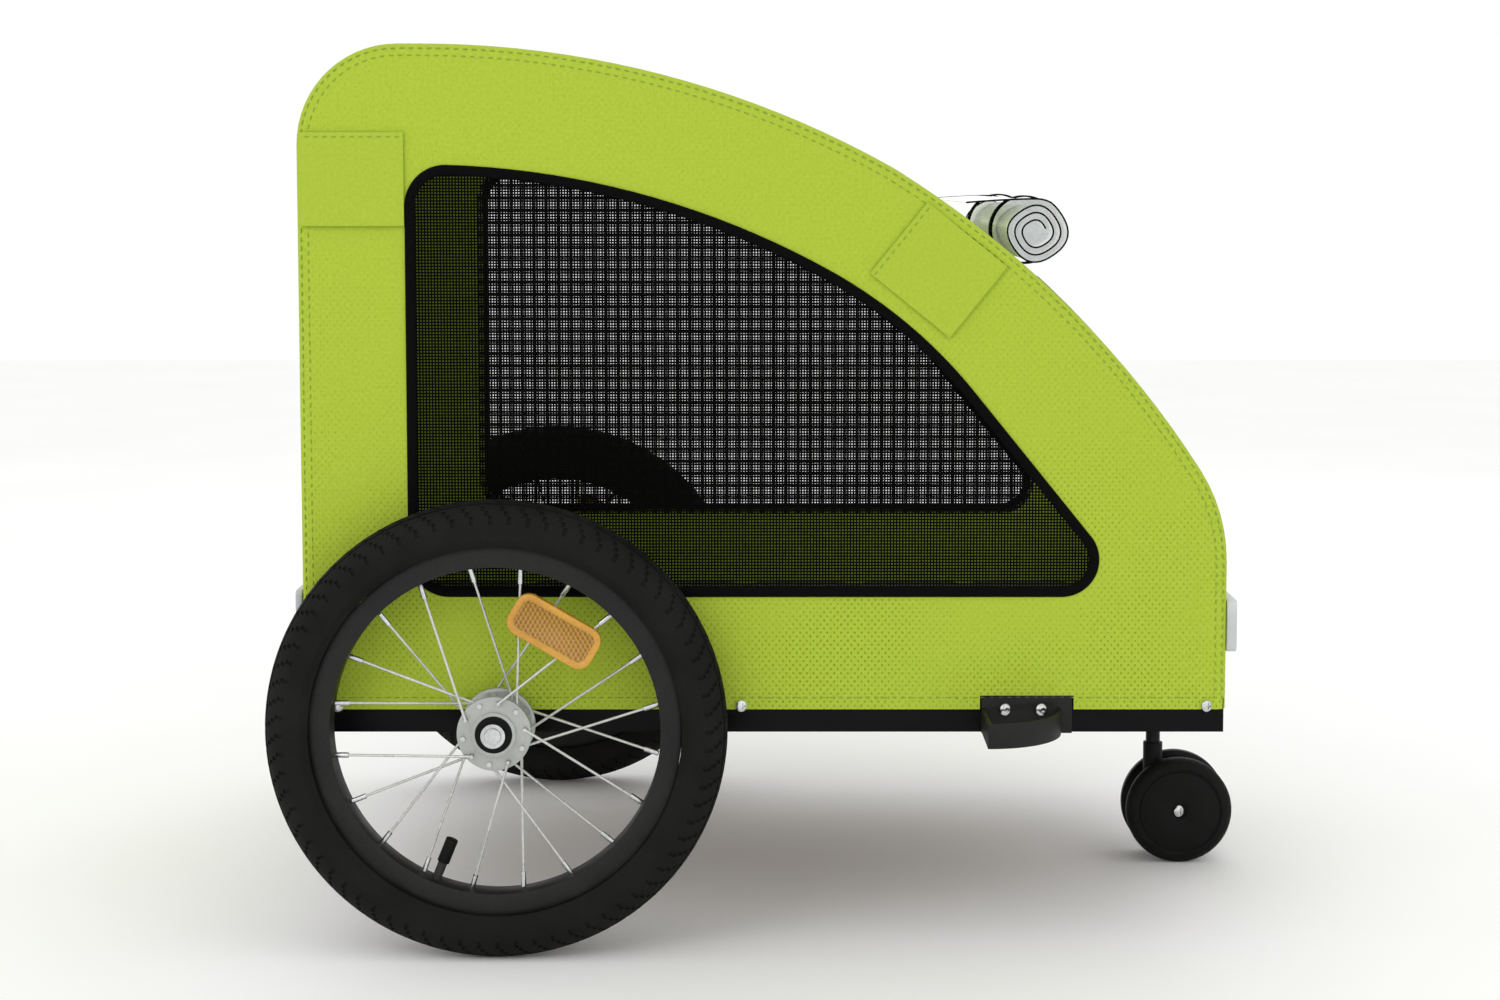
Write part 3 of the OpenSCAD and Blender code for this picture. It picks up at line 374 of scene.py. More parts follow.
# %% Net, binding and film
NET_PITCH = 2.7 * MM
NET_OPEN = -0.03
net, net_shader = finish("black_polyester_net", "#070707", 0.85, Specular_IOR_Level=0.04)
net_uv = place(net, "UV")
gap_across = remap(net, ripple(net, net_uv, (1 / NET_PITCH, 0, 0)), NET_OPEN, NET_OPEN + 0.12)
gap_up = remap(net, ripple(net, net_uv, (0, 1 / NET_PITCH, 0)), NET_OPEN, NET_OPEN + 0.12)
holes = reckon(net, "MULTIPLY", gap_across, gap_up)
link(net, remap(net, holes, 0, 1, 1, 0), net_shader, "Alpha")
link(net, ramp(net, grain(net, place(net), 2 * MM), [(0.3, "#040404"), (0.7, "#0A0A09")]),
     net_shader, "Base Color")

binding, binding_shader = finish("black_polyester_webbing", "#080808", 0.85,
                                 Specular_IOR_Level=0.06)
ribs = ripple(binding, place(binding), (420, 420, 420))
link(binding, ramp(binding, grain(binding, place(binding), 1.5 * MM),
                   [(0.3, "#050505"), (0.7, "#0B0B0B")]), binding_shader, "Base Color")
bump(binding, binding_shader, ribs, 0.12 * MM, 0.6)

# The film has a painted glow, which stands in for the light that clear film passes on and keeps
# it bright in its folds.
FILM_GLOW = 0.12
film, film_shader = finish("clear_soft_vinyl", "#FBFCFB", 0.3, Specular_IOR_Level=0.5,
                           Emission_Strength=FILM_GLOW)
creases = grain(film, place(film), 22 * MM, 4)
# The creases are painted a little darker: painted shade in their hollows, which also dims the
# painted glow there.
film_tone = ramp(film, creases, [(0.35, "#E9EBEA"), (0.65, "#FAFBFB")])
link(film, film_tone, film_shader, "Base Color")
link(film, film_tone, film_shader, "Emission Color")
bump(film, film_shader, creases, 2.2 * MM, 0.7)

# %% [markdown]
# ## Metal and plastic finishes
# Powder coat has a fine orange-peel skin, zinc plate is bright with faint clouds, cast alloy
# is matt, and moulded plastic is smooth with a slight grain. One function makes such a finish
# from its two tones, the size of its grain in millimetres and how deep the grain is.


# %% Hard finishes
def hard_finish(name, dark, light, roughness, grain_mm, depth_mm, metallic=0.0, rough_spread=0.1,
                **sockets):
    material, shader = finish(name, light, roughness, metallic, **sockets)
    coords = place(material)
    fine = grain(material, coords, grain_mm * MM)
    broad = grain(material, coords, 45 * MM, 4)
    tone = reckon(material, "ADD", reckon(material, "MULTIPLY", fine, 0.4),
                  reckon(material, "MULTIPLY", broad, 0.6))
    link(material, ramp(material, tone, [(0.38, dark), (0.62, light)]), shader, "Base Color")
    link(material, remap(material, broad, 0.3, 0.7, roughness - rough_spread,
                         roughness + rough_spread), shader, "Roughness")
    bump(material, shader, fine, depth_mm * MM, 0.5)
    return material


powder_coat = hard_finish("black_powder_coat", "#050505", "#0B0B0B", 0.42, 1.2, 0.05,
                          Specular_IOR_Level=0.1)
bracket_coat = hard_finish("textured_black_powder_coat", "#141513", "#20201F", 0.5, 0.9, 0.1,
                           Specular_IOR_Level=0.2)
zinc = hard_finish("bright_zinc_plate", "#B9BCBC", "#DADCDC", 0.24, 2.0, 0.01, 1.0, 0.06)
spoke_zinc = hard_finish("zinc_plated_spoke_steel", "#BDBDBA", "#D6D6D3", 0.3, 3.0, 0.01, 0.55)
alloy = hard_finish("cast_aluminium", "#A0A39F", "#BABDB9", 0.42, 1.0, 0.03, 0.45, 0.08)
dark_steel = hard_finish("blackened_steel", "#101010", "#1B1B1B", 0.4, 1.5, 0.02, 0.8, 0.08)
seal_rubber = hard_finish("bearing_seal_rubber", "#090909", "#101010", 0.6, 0.8, 0.02,
                          Specular_IOR_Level=0.15)
rim_plastic = hard_finish("satin_black_rim", "#161616", "#212120", 0.45, 1.5, 0.03,
                          Specular_IOR_Level=0.22)
nylon = hard_finish("black_moulded_nylon", "#0A0A0A", "#131312", 0.5, 0.7, 0.03,
                    Specular_IOR_Level=0.12)
grey_nylon = hard_finish("grey_moulded_nylon", "#7F8284", "#939698", 0.5, 0.7, 0.03)
butyl = hard_finish("butyl_rubber", "#1C1C1B", "#292928", 0.7, 1.0, 0.04)
tyre_rubber = hard_finish("vulcanised_rubber", "#131312", "#1E1E1C", 0.75, 0.9, 0.08,
                          Specular_IOR_Level=0.1)

hardboard, hardboard_shader = finish("hardboard", "#7A6448", 0.8)
fibres = grain(hardboard, place(hardboard), 1.5 * MM, 5)
link(hardboard, ramp(hardboard, fibres, [(0.3, "#66523A"), (0.7, "#8A7354")]),
     hardboard_shader, "Base Color")
bump(hardboard, hardboard_shader, fibres, 0.1 * MM)

pad_cloth, pad_shader = finish("grey_nylon_taffeta", "#3A3D40", 0.75, Sheen_Weight=0.15)
pad_weave = reckon(pad_cloth, "ADD", ripple(pad_cloth, place(pad_cloth), (600, 0, 0)),
                   ripple(pad_cloth, place(pad_cloth), (0, 600, 0)))
link(pad_cloth, ramp(pad_cloth, remap(pad_cloth, pad_weave, -2, 2),
                     [(0.0, "#303336"), (1.0, "#43464A")]), pad_shader, "Base Color")
bump(pad_cloth, pad_shader, pad_weave, 0.1 * MM, 0.6)


def lens(name, base, dark, light, cell_mm):
    """A moulded reflector: clear coloured plastic over rows of small corner prisms."""
    material, shader = finish(name, base, 0.12, Specular_IOR_Level=0.7, IOR=1.49,
                              Transmission_Weight=0.25, Coat_Weight=0.3)
    cells = 1 / (cell_mm * MM)
    coords = place(material)
    prisms = reckon(material, "ADD", ripple(material, coords, (cells, 0, 0.58 * cells)),
                    ripple(material, coords, (cells, cells, -0.58 * cells)))
    # The colour follows the prisms' height: painted shade between the prisms and painted
    # highlight on their faces.
    link(material, ramp(material, remap(material, prisms, -2, 2), [(0.15, dark), (0.8, light)]),
         shader, "Base Color")
    bump(material, shader, prisms, 0.4 * MM, 0.8)
    return material


amber_lens = lens("amber_acrylic", "#C89128", "#A87418", "#D9A034", 4.0)
amber_rim = hard_finish("amber_acrylic_rim", "#B98322", "#D29A2C", 0.2, 2.0, 0.02,
                        Specular_IOR_Level=0.7)
red_lens = lens("red_acrylic", "#B5232A", "#8E161D", "#CB3036", 4.0)
clear_lens = lens("clear_acrylic", "#D8DADA", "#8C9092", "#EEF0F0", 4.0)
backing = hard_finish("grey_reflector_backing", "#B9BCBD", "#CFD2D2", 0.4, 1.0, 0.02)
print("finishes:", len(bpy.data.materials))

# %% [markdown]
# ## Hard parts from the frame
# The shapes of the tubes, hubs and wheels are right already. But a sharp edge never catches
# light as a real one does, so each of these gets a copy whose edges are broken by a narrow
# bevel. The copy stands for the frame's part, which stays behind for its weight and contact.


# %% Copies with broken edges
def cad_copy(nodes, name):
    """One mesh from copies of the frame's parts, with its loose triangles merged."""
    parts = []
    for node in nodes:
        part = frame["nodes"][node].copy()
        part.data = part.data.copy()
        part.parent = None
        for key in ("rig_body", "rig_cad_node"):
            del part[key]
        bpy.context.scene.collection.objects.link(part)
        parts.append(part)
    piece = joined(parts, name)
    edit(piece)
    bpy.ops.mesh.remove_doubles(threshold=0.01 * MM)
    bpy.ops.mesh.dissolve_limited(angle_limit=math.radians(0.4))
    leave_edit()
    return piece


def dress(piece, body, material, slot, *nodes):
    """Gives a finished piece its body and material, and the parts that it stands for; the slot is
    not used.
    """
    piece.data.materials.clear()
    piece.data.materials.append(material)
    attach(piece, body)
    if nodes:
        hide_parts(*nodes)
    return piece


def broken_edges(node, body, material, slot, width_mm, name=None):
    piece = cad_copy([node], name or node + "_finished")
    use(piece, "BEVEL", width=width_mm * MM, segments=2, limit_method="ANGLE",
        angle_limit=math.radians(40), use_clamp_overlap=True)
    smooth(piece)
    return dress(piece, body, material, slot, node)


def paint(node, material):
    """A frame part whose own shape is kept takes a new material."""
    data = frame["nodes"][node].data
    data.materials.clear()
    data.materials.append(material)


for side in SIDES:
    broken_edges(side + "_rail", "root", powder_coat, "frame_black", 1.2)
    broken_edges(side + "_axle", "root", zinc, "axle_steel", 0.5)
    broken_edges(side + "_release_button", side + "_button", zinc, "axle_steel", 0.6)
    broken_edges(side + "_hub", side + "_wheel", alloy, "hub_metal", 0.5)
    broken_edges(side + "_rim", side + "_wheel", rim_plastic, "rim_plastic", 0.7)
    broken_edges(side + "_valve_cap", side + "_wheel", nylon, "cap_plastic", 0.8)
    broken_edges(side + "_caster_wheel", side + "_caster_wheel", nylon, "caster_black", 0.9)
    paint(side + "_hoop", powder_coat)
    paint(side + "_inner_tube", butyl)
    paint(side + "_spokes", spoke_zinc)
    paint(side + "_nipples", zinc)
    paint(side + "_bearings", seal_rubber)
    paint(side + "_lock_balls", zinc)
broken_edges("hitch_bracket", "root", bracket_coat, "bracket_steel", 0.6)
broken_edges("caster_fork", "caster_fork", nylon, "caster_black", 0.9)
broken_edges("cover_straps", "root", binding, "trim", 0.4)
for node in ("crossmembers", "axle_tube", "crossbars"):
    paint(node, powder_coat)
paint("caster_stem", dark_steel)
paint("caster_axle", zinc)
paint("crossbar_screws", zinc)
paint("tube_plugs", grey_nylon)
paint("floor_board", hardboard)
print("hard parts are finished")

# %% [markdown]
# ## The cabin's cover
# On the real trailer the cover is cut from flat cloth, sewn along both sides and pulled over
# the hoops, so it is one continuous skin with a soft round edge at each seam. It is made the
# same way round: a solid block over all five of the frame's panels, its side edges rounded,
# sliced into a fine grid, and then the windows, the doorway and the underside are cut away.

# %% A block over the panels
PANELS = ("right_side_panel", "left_side_panel", "rear_panel", "roof_panel", "front_panel")
EDGE_R = 9 * MM
GRID = 14 * MM
cover = cad_copy(PANELS, "cabin_cover")
edit(cover)
bpy.ops.mesh.convex_hull()
bpy.ops.mesh.select_all(action="SELECT")
bpy.ops.mesh.dissolve_limited(angle_limit=math.radians(0.4))
leave_edit()
cover_low, cover_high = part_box("rear_panel")[0].copy(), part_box("roof_panel")[1].copy()
cover_high.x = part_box("front_panel")[1].x
half_width = cover_high.y


def ring_of(obj, y):
    """The outline of a convex block at one side, in order round its middle."""
    points = [v.co.copy() for v in obj.data.vertices if abs(v.co.y - y) < 0.1 * MM]
    middle = sum(points, Vector()) / len(points)
    return sorted(points, key=lambda p: math.atan2(p.z - middle.z, p.x - middle.x))


def shrunk(ring, distance):
    """The same outline, a distance further in."""
    inner = []
    count = len(ring)
    for i, point in enumerate(ring):
        before, after = point - ring[i - 1], ring[(i + 1) % count] - point
        along = (before.normalized() + after.normalized()).normalized()
        inward = Vector((-along.z, 0, along.x))
        square = max(0.5, inward.dot(Vector((-before.z, 0, before.x)).normalized()))
        inner.append(point + inward * distance / square)
    return inner


cover_ring = ring_of(cover, -half_width)
print("outline points:", len(cover_ring))

# %% Round the sewn edges and slice the block into a grid
edit(cover)


def is_seam(a, b):
    side, skin = (a, b) if abs(a.y) > abs(b.y) else (b, a)
    return abs(side.y) > 0.9 and abs(skin.y) < 0.1 and skin.z > -0.9


pick_edges(cover, is_seam)
bpy.ops.mesh.bevel(offset=EDGE_R, segments=4, affect="EDGES", clamp_overlap=False)


def slice_up(axis, low, high, pitch):
    """Cuts a mesh with a row of parallel planes."""
    count = round((high - low) / pitch)
    normal = [float(axis == i) for i in range(3)]
    for i in range(1, count):
        bpy.ops.mesh.select_all(action="SELECT")
        point = [low + (high - low) * i / count if axis == k else 0.0 for k in range(3)]
        bpy.ops.mesh.bisect(plane_co=point, plane_no=normal)


for axis in range(3):
    slice_up(axis, cover_low[axis], cover_high[axis], GRID)
leave_edit()
print("cover faces:", len(cover.data.polygons))

# %% Cut the windows, the doorway and the notch for the hitch
TRIM_W = 9.5 * MM
cut_away = bpy.data.materials.new("cut_away")
window_block = cad_copy(["window_trims"], "window_block")
edit(window_block)
bpy.ops.mesh.convex_hull()
leave_edit()
window_low, window_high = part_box("window_trims")
window_ring = ring_of(window_block, window_low.y)
window_middle = (window_low + window_high) / 2
edit(window_block)
size = window_high - window_low
bpy.ops.transform.resize(
    value=((size.x - TRIM_W) / size.x, 1.2, (size.z - TRIM_W) / size.z),
    center_override=window_middle)
leave_edit()

door_low, door_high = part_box("doorway_trim")
door_low = Vector((0.2, door_low.y + TRIM_W, door_low.z + TRIM_W))
door_high = Vector((door_high.x + 0.1, door_high.y - TRIM_W, door_high.z - TRIM_W))
hitch_low, hitch_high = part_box("hitch_bracket")
notch_gap = 1.5 * MM


def block(name, low, high):
    low, high = Vector(low), Vector(high)
    bpy.ops.mesh.primitive_cube_add(size=1, location=(low + high) / 2, scale=high - low)
    return settle(bpy.context.object, name)


cutters = [
    window_block,
    block("doorway_block", door_low, door_high),
    block("hitch_notch", (hitch_low.x - notch_gap, hitch_low.y, hitch_low.z - 0.05),
          (hitch_high.x + notch_gap, -half_width + 8 * MM, hitch_high.z + notch_gap)),
]
cover.data.materials.clear()
cover.data.materials.append(cover_cloth)
for cutter in cutters:
    cutter.data.materials.clear()
    cutter.data.materials.append(cut_away)
    use(cover, "BOOLEAN", object=cutter, operation="DIFFERENCE", solver="EXACT",
        material_mode="TRANSFER")
    bpy.data.objects.remove(cutter)

edit(cover)
bpy.ops.mesh.select_all(action="DESELECT")
bpy.ops.mesh.select_mode(type="FACE")
cloth = bmesh.from_edit_mesh(cover.data)
for face in cloth.faces:
    underside = face.normal.z < -0.9 and face.calc_center_median().z < cover_low.z + 1 * MM
    face.select_set(face.material_index > 0 or underside)
bmesh.update_edit_mesh(cover.data)
bpy.ops.mesh.delete(type="FACE")
bpy.ops.mesh.select_all(action="SELECT")
bpy.ops.mesh.remove_doubles(threshold=0.05 * MM)
bpy.ops.uv.cube_project(cube_size=1.0, scale_to_bounds=False)
leave_edit()
print("cover faces after cutting:", len(cover.data.polygons))

# %% [markdown]
# ## Let the cloth sag
# Between the hoops the roof hangs a few millimetres, except where a crossbar holds it up, and
# the sides draw in a little with soft creases. The lower edge, which is screwed to the rails,
# and the frame of the doorway stay where they are.

# %% Sag and creases
SAG = 4.5 * MM
CREASE = 1.6 * MM
BAR_REACH = 70 * MM
bar_low, bar_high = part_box("crossbars")
bar_r = 8 * MM
BARS = [Vector((bar_low.x + bar_r, 0, bar_high.z - bar_r)),
        Vector((bar_high.x - bar_r, 0, bar_low.z + bar_r))]
for vertex, normal in [(v, v.normal.copy()) for v in cover.data.vertices]:
    spot = vertex.co
    low_edge = min(1.0, max(0.0, (spot.z - cover_low.z - 12 * MM) / (60 * MM)))
    crease = noise.noise(Vector((spot.x * 6, spot.y * 6, spot.z * 9)))
    if abs(spot.y) > half_width - 1 * MM:
        vertex.co.y -= math.copysign(CREASE, spot.y) * low_edge * (0.5 + 0.5 * crease)
        continue
    inside = max(0.0, 1 - (spot.y / (half_width - EDGE_R)) ** 2)
    bars = min((Vector((spot.x, 0, spot.z)) - bar).length for bar in BARS)
    off_bar = 1 - math.exp(-(bars / BAR_REACH) ** 2)
    in_front = min(1.0, max(0.0, (door_high.z + 60 * MM - spot.z) / (60 * MM)))
    off_door = 1 - in_front if spot.x > 0 else 1.0
    drop = SAG * inside * off_bar * off_door * low_edge * (1 + 0.5 * crease)
    vertex.co -= normal * drop
cover.data.materials.clear()
for cloth_side in (cover_cloth, lining):
    cover.data.materials.append(cloth_side)
use(cover, "SOLIDIFY", thickness=1.3 * MM, offset=-1, use_even_offset=False, material_offset=1)
smooth(cover, 50)
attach(cover, "root")
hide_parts(*PANELS)

# %% [markdown]
# ## Nets and bindings
# Each net is one flat sheet stretched in its window. The binding round it is a folded tape: a
# tube that follows the window's outline and is then pressed flat across the cloth.


# %% Nets
def net_window(name, side):
    low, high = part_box("window_meshes")
    y = side * (abs(high.y) - 0.3 * MM)
    piece = cad_copy(["window_meshes"], name)
    edit(piece)
    pick_faces(piece, lambda centre, normal: centre.y * side < 0 or normal.y * side < 0.9)
    bpy.ops.mesh.delete(type="FACE")
    bpy.ops.mesh.select_all(action="SELECT")
    slice_up(0, low.x, high.x, 25 * MM)
    slice_up(2, low.z, high.z, 25 * MM)
    bpy.ops.mesh.select_all(action="SELECT")
    bpy.ops.uv.cube_project(cube_size=1.0, scale_to_bounds=False)
    leave_edit()
    for vertex in piece.data.vertices:
        across = (vertex.co.x - low.x) / (high.x - low.x)
        up = (vertex.co.z - low.z) / (high.z - low.z)
        slack = 16 * across * (1 - across) * up * (1 - up)
        vertex.co.y = y - side * 2 * MM * slack
    smooth(piece)
    return dress(piece, "root", net, "mesh")


nets = {name: net_window(name + "_window_net", side) for name, side in SIDES.items()}
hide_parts("window_meshes")


# %% Bindings
def tape(name, points, radius, closed=True, resolution=3):
    """A round tube along a row of points."""
    curve = bpy.data.curves.new(name, "CURVE")
    curve.dimensions = "3D"
    curve.bevel_depth = radius
    curve.bevel_resolution = resolution
    curve.use_fill_caps = not closed
    spline = curve.splines.new("POLY")
    spline.points.add(len(points) - 1)
    for target, point in zip(spline.points, points):
        target.co = (*point, 1.0)
    spline.use_cyclic_u = closed
    piece = bpy.data.objects.new(name, curve)
    bpy.context.scene.collection.objects.link(piece)
    return settle(piece, name)


TAPE_FLATNESS = 0.42
for name, side in SIDES.items():
    line = [Vector((p.x, side * (half_width - 0.3 * MM), p.z))
            for p in shrunk(window_ring, TRIM_W / 2)]
    piece = tape(name + "_window_binding", line, TRIM_W / 2)
    edit(piece)
    bpy.ops.transform.resize(value=(1, TAPE_FLATNESS, 1), center_override=line[0])
    leave_edit()
    smooth(piece, 60)
    dress(piece, "root", binding, "trim")
    if name == "right":
        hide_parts("window_trims")
print("nets and bindings are in place")

# %% [markdown]
# ## Piping round the doorway
# The doorway's edge is bound with a round cord in black cloth. It follows the front of the
# cabin, so its height is stepped off and its place forward is read from the cover's outline.


# %% Doorway piping
def front_of(z):
    """How far forward the cover's outline lies at a height."""
    ahead = sorted((p for p in cover_ring if p.x > 0), key=lambda p: p.z)
    for below, above in zip(ahead, ahead[1:]):
        if below.z <= z <= above.z and above.z > below.z:
            share = (z - below.z) / (above.z - below.z)
            return below.x + (above.x - below.x) * share
    return ahead[0].x


PIPING_R = 2.8 * MM
door_left, door_right = door_low.y - 3 * MM, door_high.y + 3 * MM
door_bottom, door_top = door_low.z - 3 * MM, door_high.z + 3 * MM
steps = 24
rise = [door_bottom + (door_top - door_bottom) * i / steps for i in range(steps + 1)]
cross = [door_left + (door_right - door_left) * i / steps for i in range(1, steps)]
loop = [Vector((front_of(z), door_left, z)) for z in rise]
loop += [Vector((front_of(door_top), y, door_top)) for y in cross]
loop += [Vector((front_of(z), door_right, z)) for z in reversed(rise)]
loop += [Vector((front_of(door_bottom), y, door_bottom)) for y in reversed(cross)]
piping = tape("doorway_piping", loop, PIPING_R)
smooth(piping, 70)
dress(piping, "root", binding, "trim", "doorway_trim")

# %% [markdown]
# ## Stitches
# A stitch is a short thread lying in the cloth. One is modelled, and an Array modifier repeats
# it along a curve while a Curve modifier bends the row, so each seam takes two modifiers.

# %% Rows of stitches
STITCH_LENGTH = 4.6 * MM
STITCH_PITCH = 7.8 * MM
STITCH_R = 0.6 * MM


def stitch_row(points, closed=False):
    """A row of stitches along a line of points."""
    curve = bpy.data.curves.new("seam", "CURVE")
    curve.dimensions = "3D"
    spline = curve.splines.new("POLY")
    spline.points.add(len(points) - 1)
    for target, point in zip(spline.points, points):
        target.co = (*point, 1.0)
    spline.use_cyclic_u = closed
    seam = bpy.data.objects.new("seam", curve)
    bpy.context.scene.collection.objects.link(seam)
    bpy.ops.mesh.primitive_uv_sphere_add(
        segments=6, ring_count=5, radius=1, rotation=(0, math.pi / 2, 0),
        scale=(STITCH_R, STITCH_R, STITCH_LENGTH / 2), location=(STITCH_LENGTH / 2, 0, 0))
    row = settle(bpy.context.object, "stitches")
    use(row, "ARRAY", fit_type="FIT_CURVE", curve=seam, use_relative_offset=False,
        use_constant_offset=True, constant_offset_displace=(STITCH_PITCH, 0, 0))
    use(row, "CURVE", object=seam, deform_axis="POS_X")
    bpy.data.objects.remove(seam)
    smooth(row, 60)
    return row


OUTER_ROW = 4.2 * MM
INNER_ROW = 10.5 * MM
on_round = half_width - EDGE_R + math.sqrt(EDGE_R ** 2 - (EDGE_R - OUTER_ROW) ** 2)
for name, side in SIDES.items():
    upper = [p for p in shrunk(cover_ring, OUTER_ROW) if p.z > cover_low.z + 8 * MM]
    rear = [cover_low.x + OUTER_ROW, cover_low.z + 12 * MM]
    front = [cover_high.x - OUTER_ROW, cover_low.z + 12 * MM]
    upper.sort(key=lambda p: math.atan2(p.z - window_middle.z, p.x - window_middle.x))
    line = [Vector((front[0], 0, front[1]))]
    line += [p for p in upper if p.z > rear[1]] + [Vector((rear[0], 0, rear[1]))]
    line.sort(key=lambda p: -math.atan2(p.z - cover_low.z, p.x))
    outer = stitch_row([(p.x, side * on_round, p.z) for p in line])
    inner = stitch_row([(p.x, side * (half_width + 0.1 * MM), p.z)
                        for p in shrunk(cover_ring, INNER_ROW)], closed=True)
    for vertex in inner.data.vertices:
        spot = vertex.co
        low_edge = min(1.0, max(0.0, (spot.z - cover_low.z - 12 * MM) / (60 * MM)))
        crease = noise.noise(Vector((spot.x * 6, side * half_width * 6, spot.z * 9)))
        vertex.co.y -= side * CREASE * low_edge * (0.5 + 0.5 * crease)
    dress(joined([outer, inner], name + "_seam_stitches"), "root", thread, "green_fabric")

# %% [markdown]
# ## Flaps over the hoops' screws
# Four patches of plain cloth hide the crossbars' screws. Each is sewn along one edge and
# free along the others, where it stands a little off the cover and curls at its corners.

# %% Flaps
FLAP_GRID = 6 * MM
FLAP_LIFT = 1.6 * MM
for name, side in SIDES.items():
    for where in ("rear_flap", "front_flap"):
        node = name + "_" + where
        low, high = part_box(node)
        flap = cad_copy([node], node + "_cloth")
        edit(flap)
        pick_faces(flap, lambda centre, normal: normal.y * side < 0.9)
        bpy.ops.mesh.delete(type="FACE")
        slice_up(0, low.x, high.x, FLAP_GRID)
        slice_up(2, low.z, high.z, FLAP_GRID)
        bpy.ops.mesh.select_all(action="SELECT")
        bpy.ops.uv.cube_project(cube_size=1.0, scale_to_bounds=False)
        leave_edit()
        joint = next(j for j in frame["joints"] if j["name"] == node + "_lift")
        hinge, along = Vector(joint["pos_m"]), Vector(joint["axis"]).normalized()
        reach = max(((v.co - hinge) - (v.co - hinge).dot(along) * along).length
                    for v in flap.data.vertices)
        for vertex in flap.data.vertices:
            arm = vertex.co - hinge
            away = (arm - arm.dot(along) * along).length / reach
            curl = noise.noise(vertex.co * 28)
            vertex.co.y += side * FLAP_LIFT * away * away * (0.55 + 0.6 * curl)
        use(flap, "SOLIDIFY", thickness=1.2 * MM, offset=-1)
        use(flap, "BEVEL", width=0.4 * MM, segments=2, limit_method="ANGLE",
            angle_limit=math.radians(50))
        smooth(flap, 50)
        ends = [v.co for v in flap.data.vertices]
        start = min(ends, key=lambda p: (p - hinge).dot(along))
        stop = max(ends, key=lambda p: (p - hinge).dot(along))
        half = ((stop - start).dot(along)) / 2 - 3 * MM
        down = (sum(ends, Vector()) / len(ends) - hinge)
        down = (down - down.dot(along) * along).normalized() * 4 * MM
        middle = hinge + down + along * ((start + stop) / 2 - hinge).dot(along)
        middle.y = side * (abs(high.y if side > 0 else low.y) + 0.1 * MM)
        row = stitch_row([middle - along * half, middle + along * half])
        row.data.materials.append(thread)
        flap.data.materials.clear()
        flap.data.materials.append(patch_cloth)
        piece = joined([flap, row], node + "_cloth")
        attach(piece, node)
        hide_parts(node)

# %% [markdown]
# ## The rolled rain cover
# A sheet of clear vinyl is sewn to the front slope, runs over the roll and is wound up inside
# it. Its line is drawn once as a spiral, extruded across the trailer, creased and given its
# thickness. The black tape along its two side edges shows as a spiral at each end.

# %% Rolled cover
TURNS = 3.2
CORE_R = 9 * MM
FILM_T = 0.5 * MM
TAPE_R = 0.8 * MM
roll_low, roll_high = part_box("rolled_cover")
roll_middle = (roll_low + roll_high) / 2
roll_r = (roll_high.z - roll_low.z) / 2 - TAPE_R
tail_start = Vector((roll_middle.x - 62 * MM, 0, roll_middle.z + 26 * MM))
tail_lift = Vector((roll_middle.x - 26 * MM, 0, roll_high.z - 1 * MM))
roll_top = Vector((roll_middle.x, 0, roll_middle.z + roll_r))
film_line = []
for i in range(8):
    t = i / 8
    film_line.append(tail_start * (1 - t) ** 2 + tail_lift * 2 * t * (1 - t) + roll_top * t * t)
spiral_steps = round(TURNS * 40)
for i in range(spiral_steps + 1):
    share = i / spiral_steps
    angle = math.pi / 2 - share * TURNS * 2 * math.pi
    radius = (roll_r + (CORE_R - roll_r) * share) * (1 + 0.035 * math.cos(4 * angle + 0.6))
    radius = min(radius, roll_r)
    film_line.append(roll_middle + radius * Vector((math.cos(angle), 0, math.sin(angle))))
film_width = roll_high.y - roll_low.y - 2 * TAPE_R
FILM_PARTS = 24

flat_line = bpy.data.curves.new("film_line", "CURVE")
flat_line.dimensions = "3D"
spline = flat_line.splines.new("POLY")
spline.points.add(len(film_line) - 1)
for target, point in zip(spline.points, film_line):
    target.co = (point.x, -film_width / 2, point.z, 1.0)
film_piece = bpy.data.objects.new("rolled_film", flat_line)
bpy.context.scene.collection.objects.link(film_piece)
settle(film_piece, "rolled_film")
edit(film_piece)
for i in range(FILM_PARTS):
    bpy.ops.mesh.extrude_region_move(
        TRANSFORM_OT_translate={"value": (0, film_width / FILM_PARTS, 0)})
bpy.ops.mesh.select_all(action="SELECT")
bpy.ops.mesh.normals_make_consistent(inside=False)
leave_edit()
for vertex in film_piece.data.vertices:
    outward = vertex.co - roll_middle
    outward.y = 0
    if outward.length < roll_r + 2 * MM:
        crease = noise.noise(Vector((vertex.co.x * 30, vertex.co.y * 14, vertex.co.z * 30)))
        vertex.co -= outward.normalized() * 1.3 * MM * (0.5 + 0.5 * crease)
use(film_piece, "SOLIDIFY", thickness=FILM_T, offset=0)
smooth(film_piece, 60)
dress(film_piece, "root", film, "clear_film", "rolled_cover")
edges = [tape("film_edge", [(p.x, y, p.z) for p in film_line], TAPE_R, closed=False, resolution=2)
         for y in (-film_width / 2, film_width / 2)]
film_edge = joined(edges, "rolled_film_edging")
smooth(film_edge, 60)
dress(film_edge, "root", binding, "clear_film")

# %% [markdown]
# ## Tyres
# A tyre is a ring of moulded rubber. A circle is drawn as its section, flattened where it sits
# on the rim, and spun round the axle. Then the grooves between the tread blocks are picked by
# their angle and sunk with one inset, and low ribs are left on the side walls.

# %% Tyres
SECTION_POINTS = 60
SPIN_STEPS = 360
BLOCK_STEPS = 5
GROOVE_DEPTH = 1.3 * MM
TREAD_HALF_ANGLE = 80
RIM_GAP = 0.3 * MM
RIB_HEIGHT = 0.5 * MM
RIB_ANGLES = ((72, 80), (108, 118))
CIRCLING_GROOVE = (22, 29)
SLANT_DEGREES = 14
GROOVE_WALL = 0.35 * MM


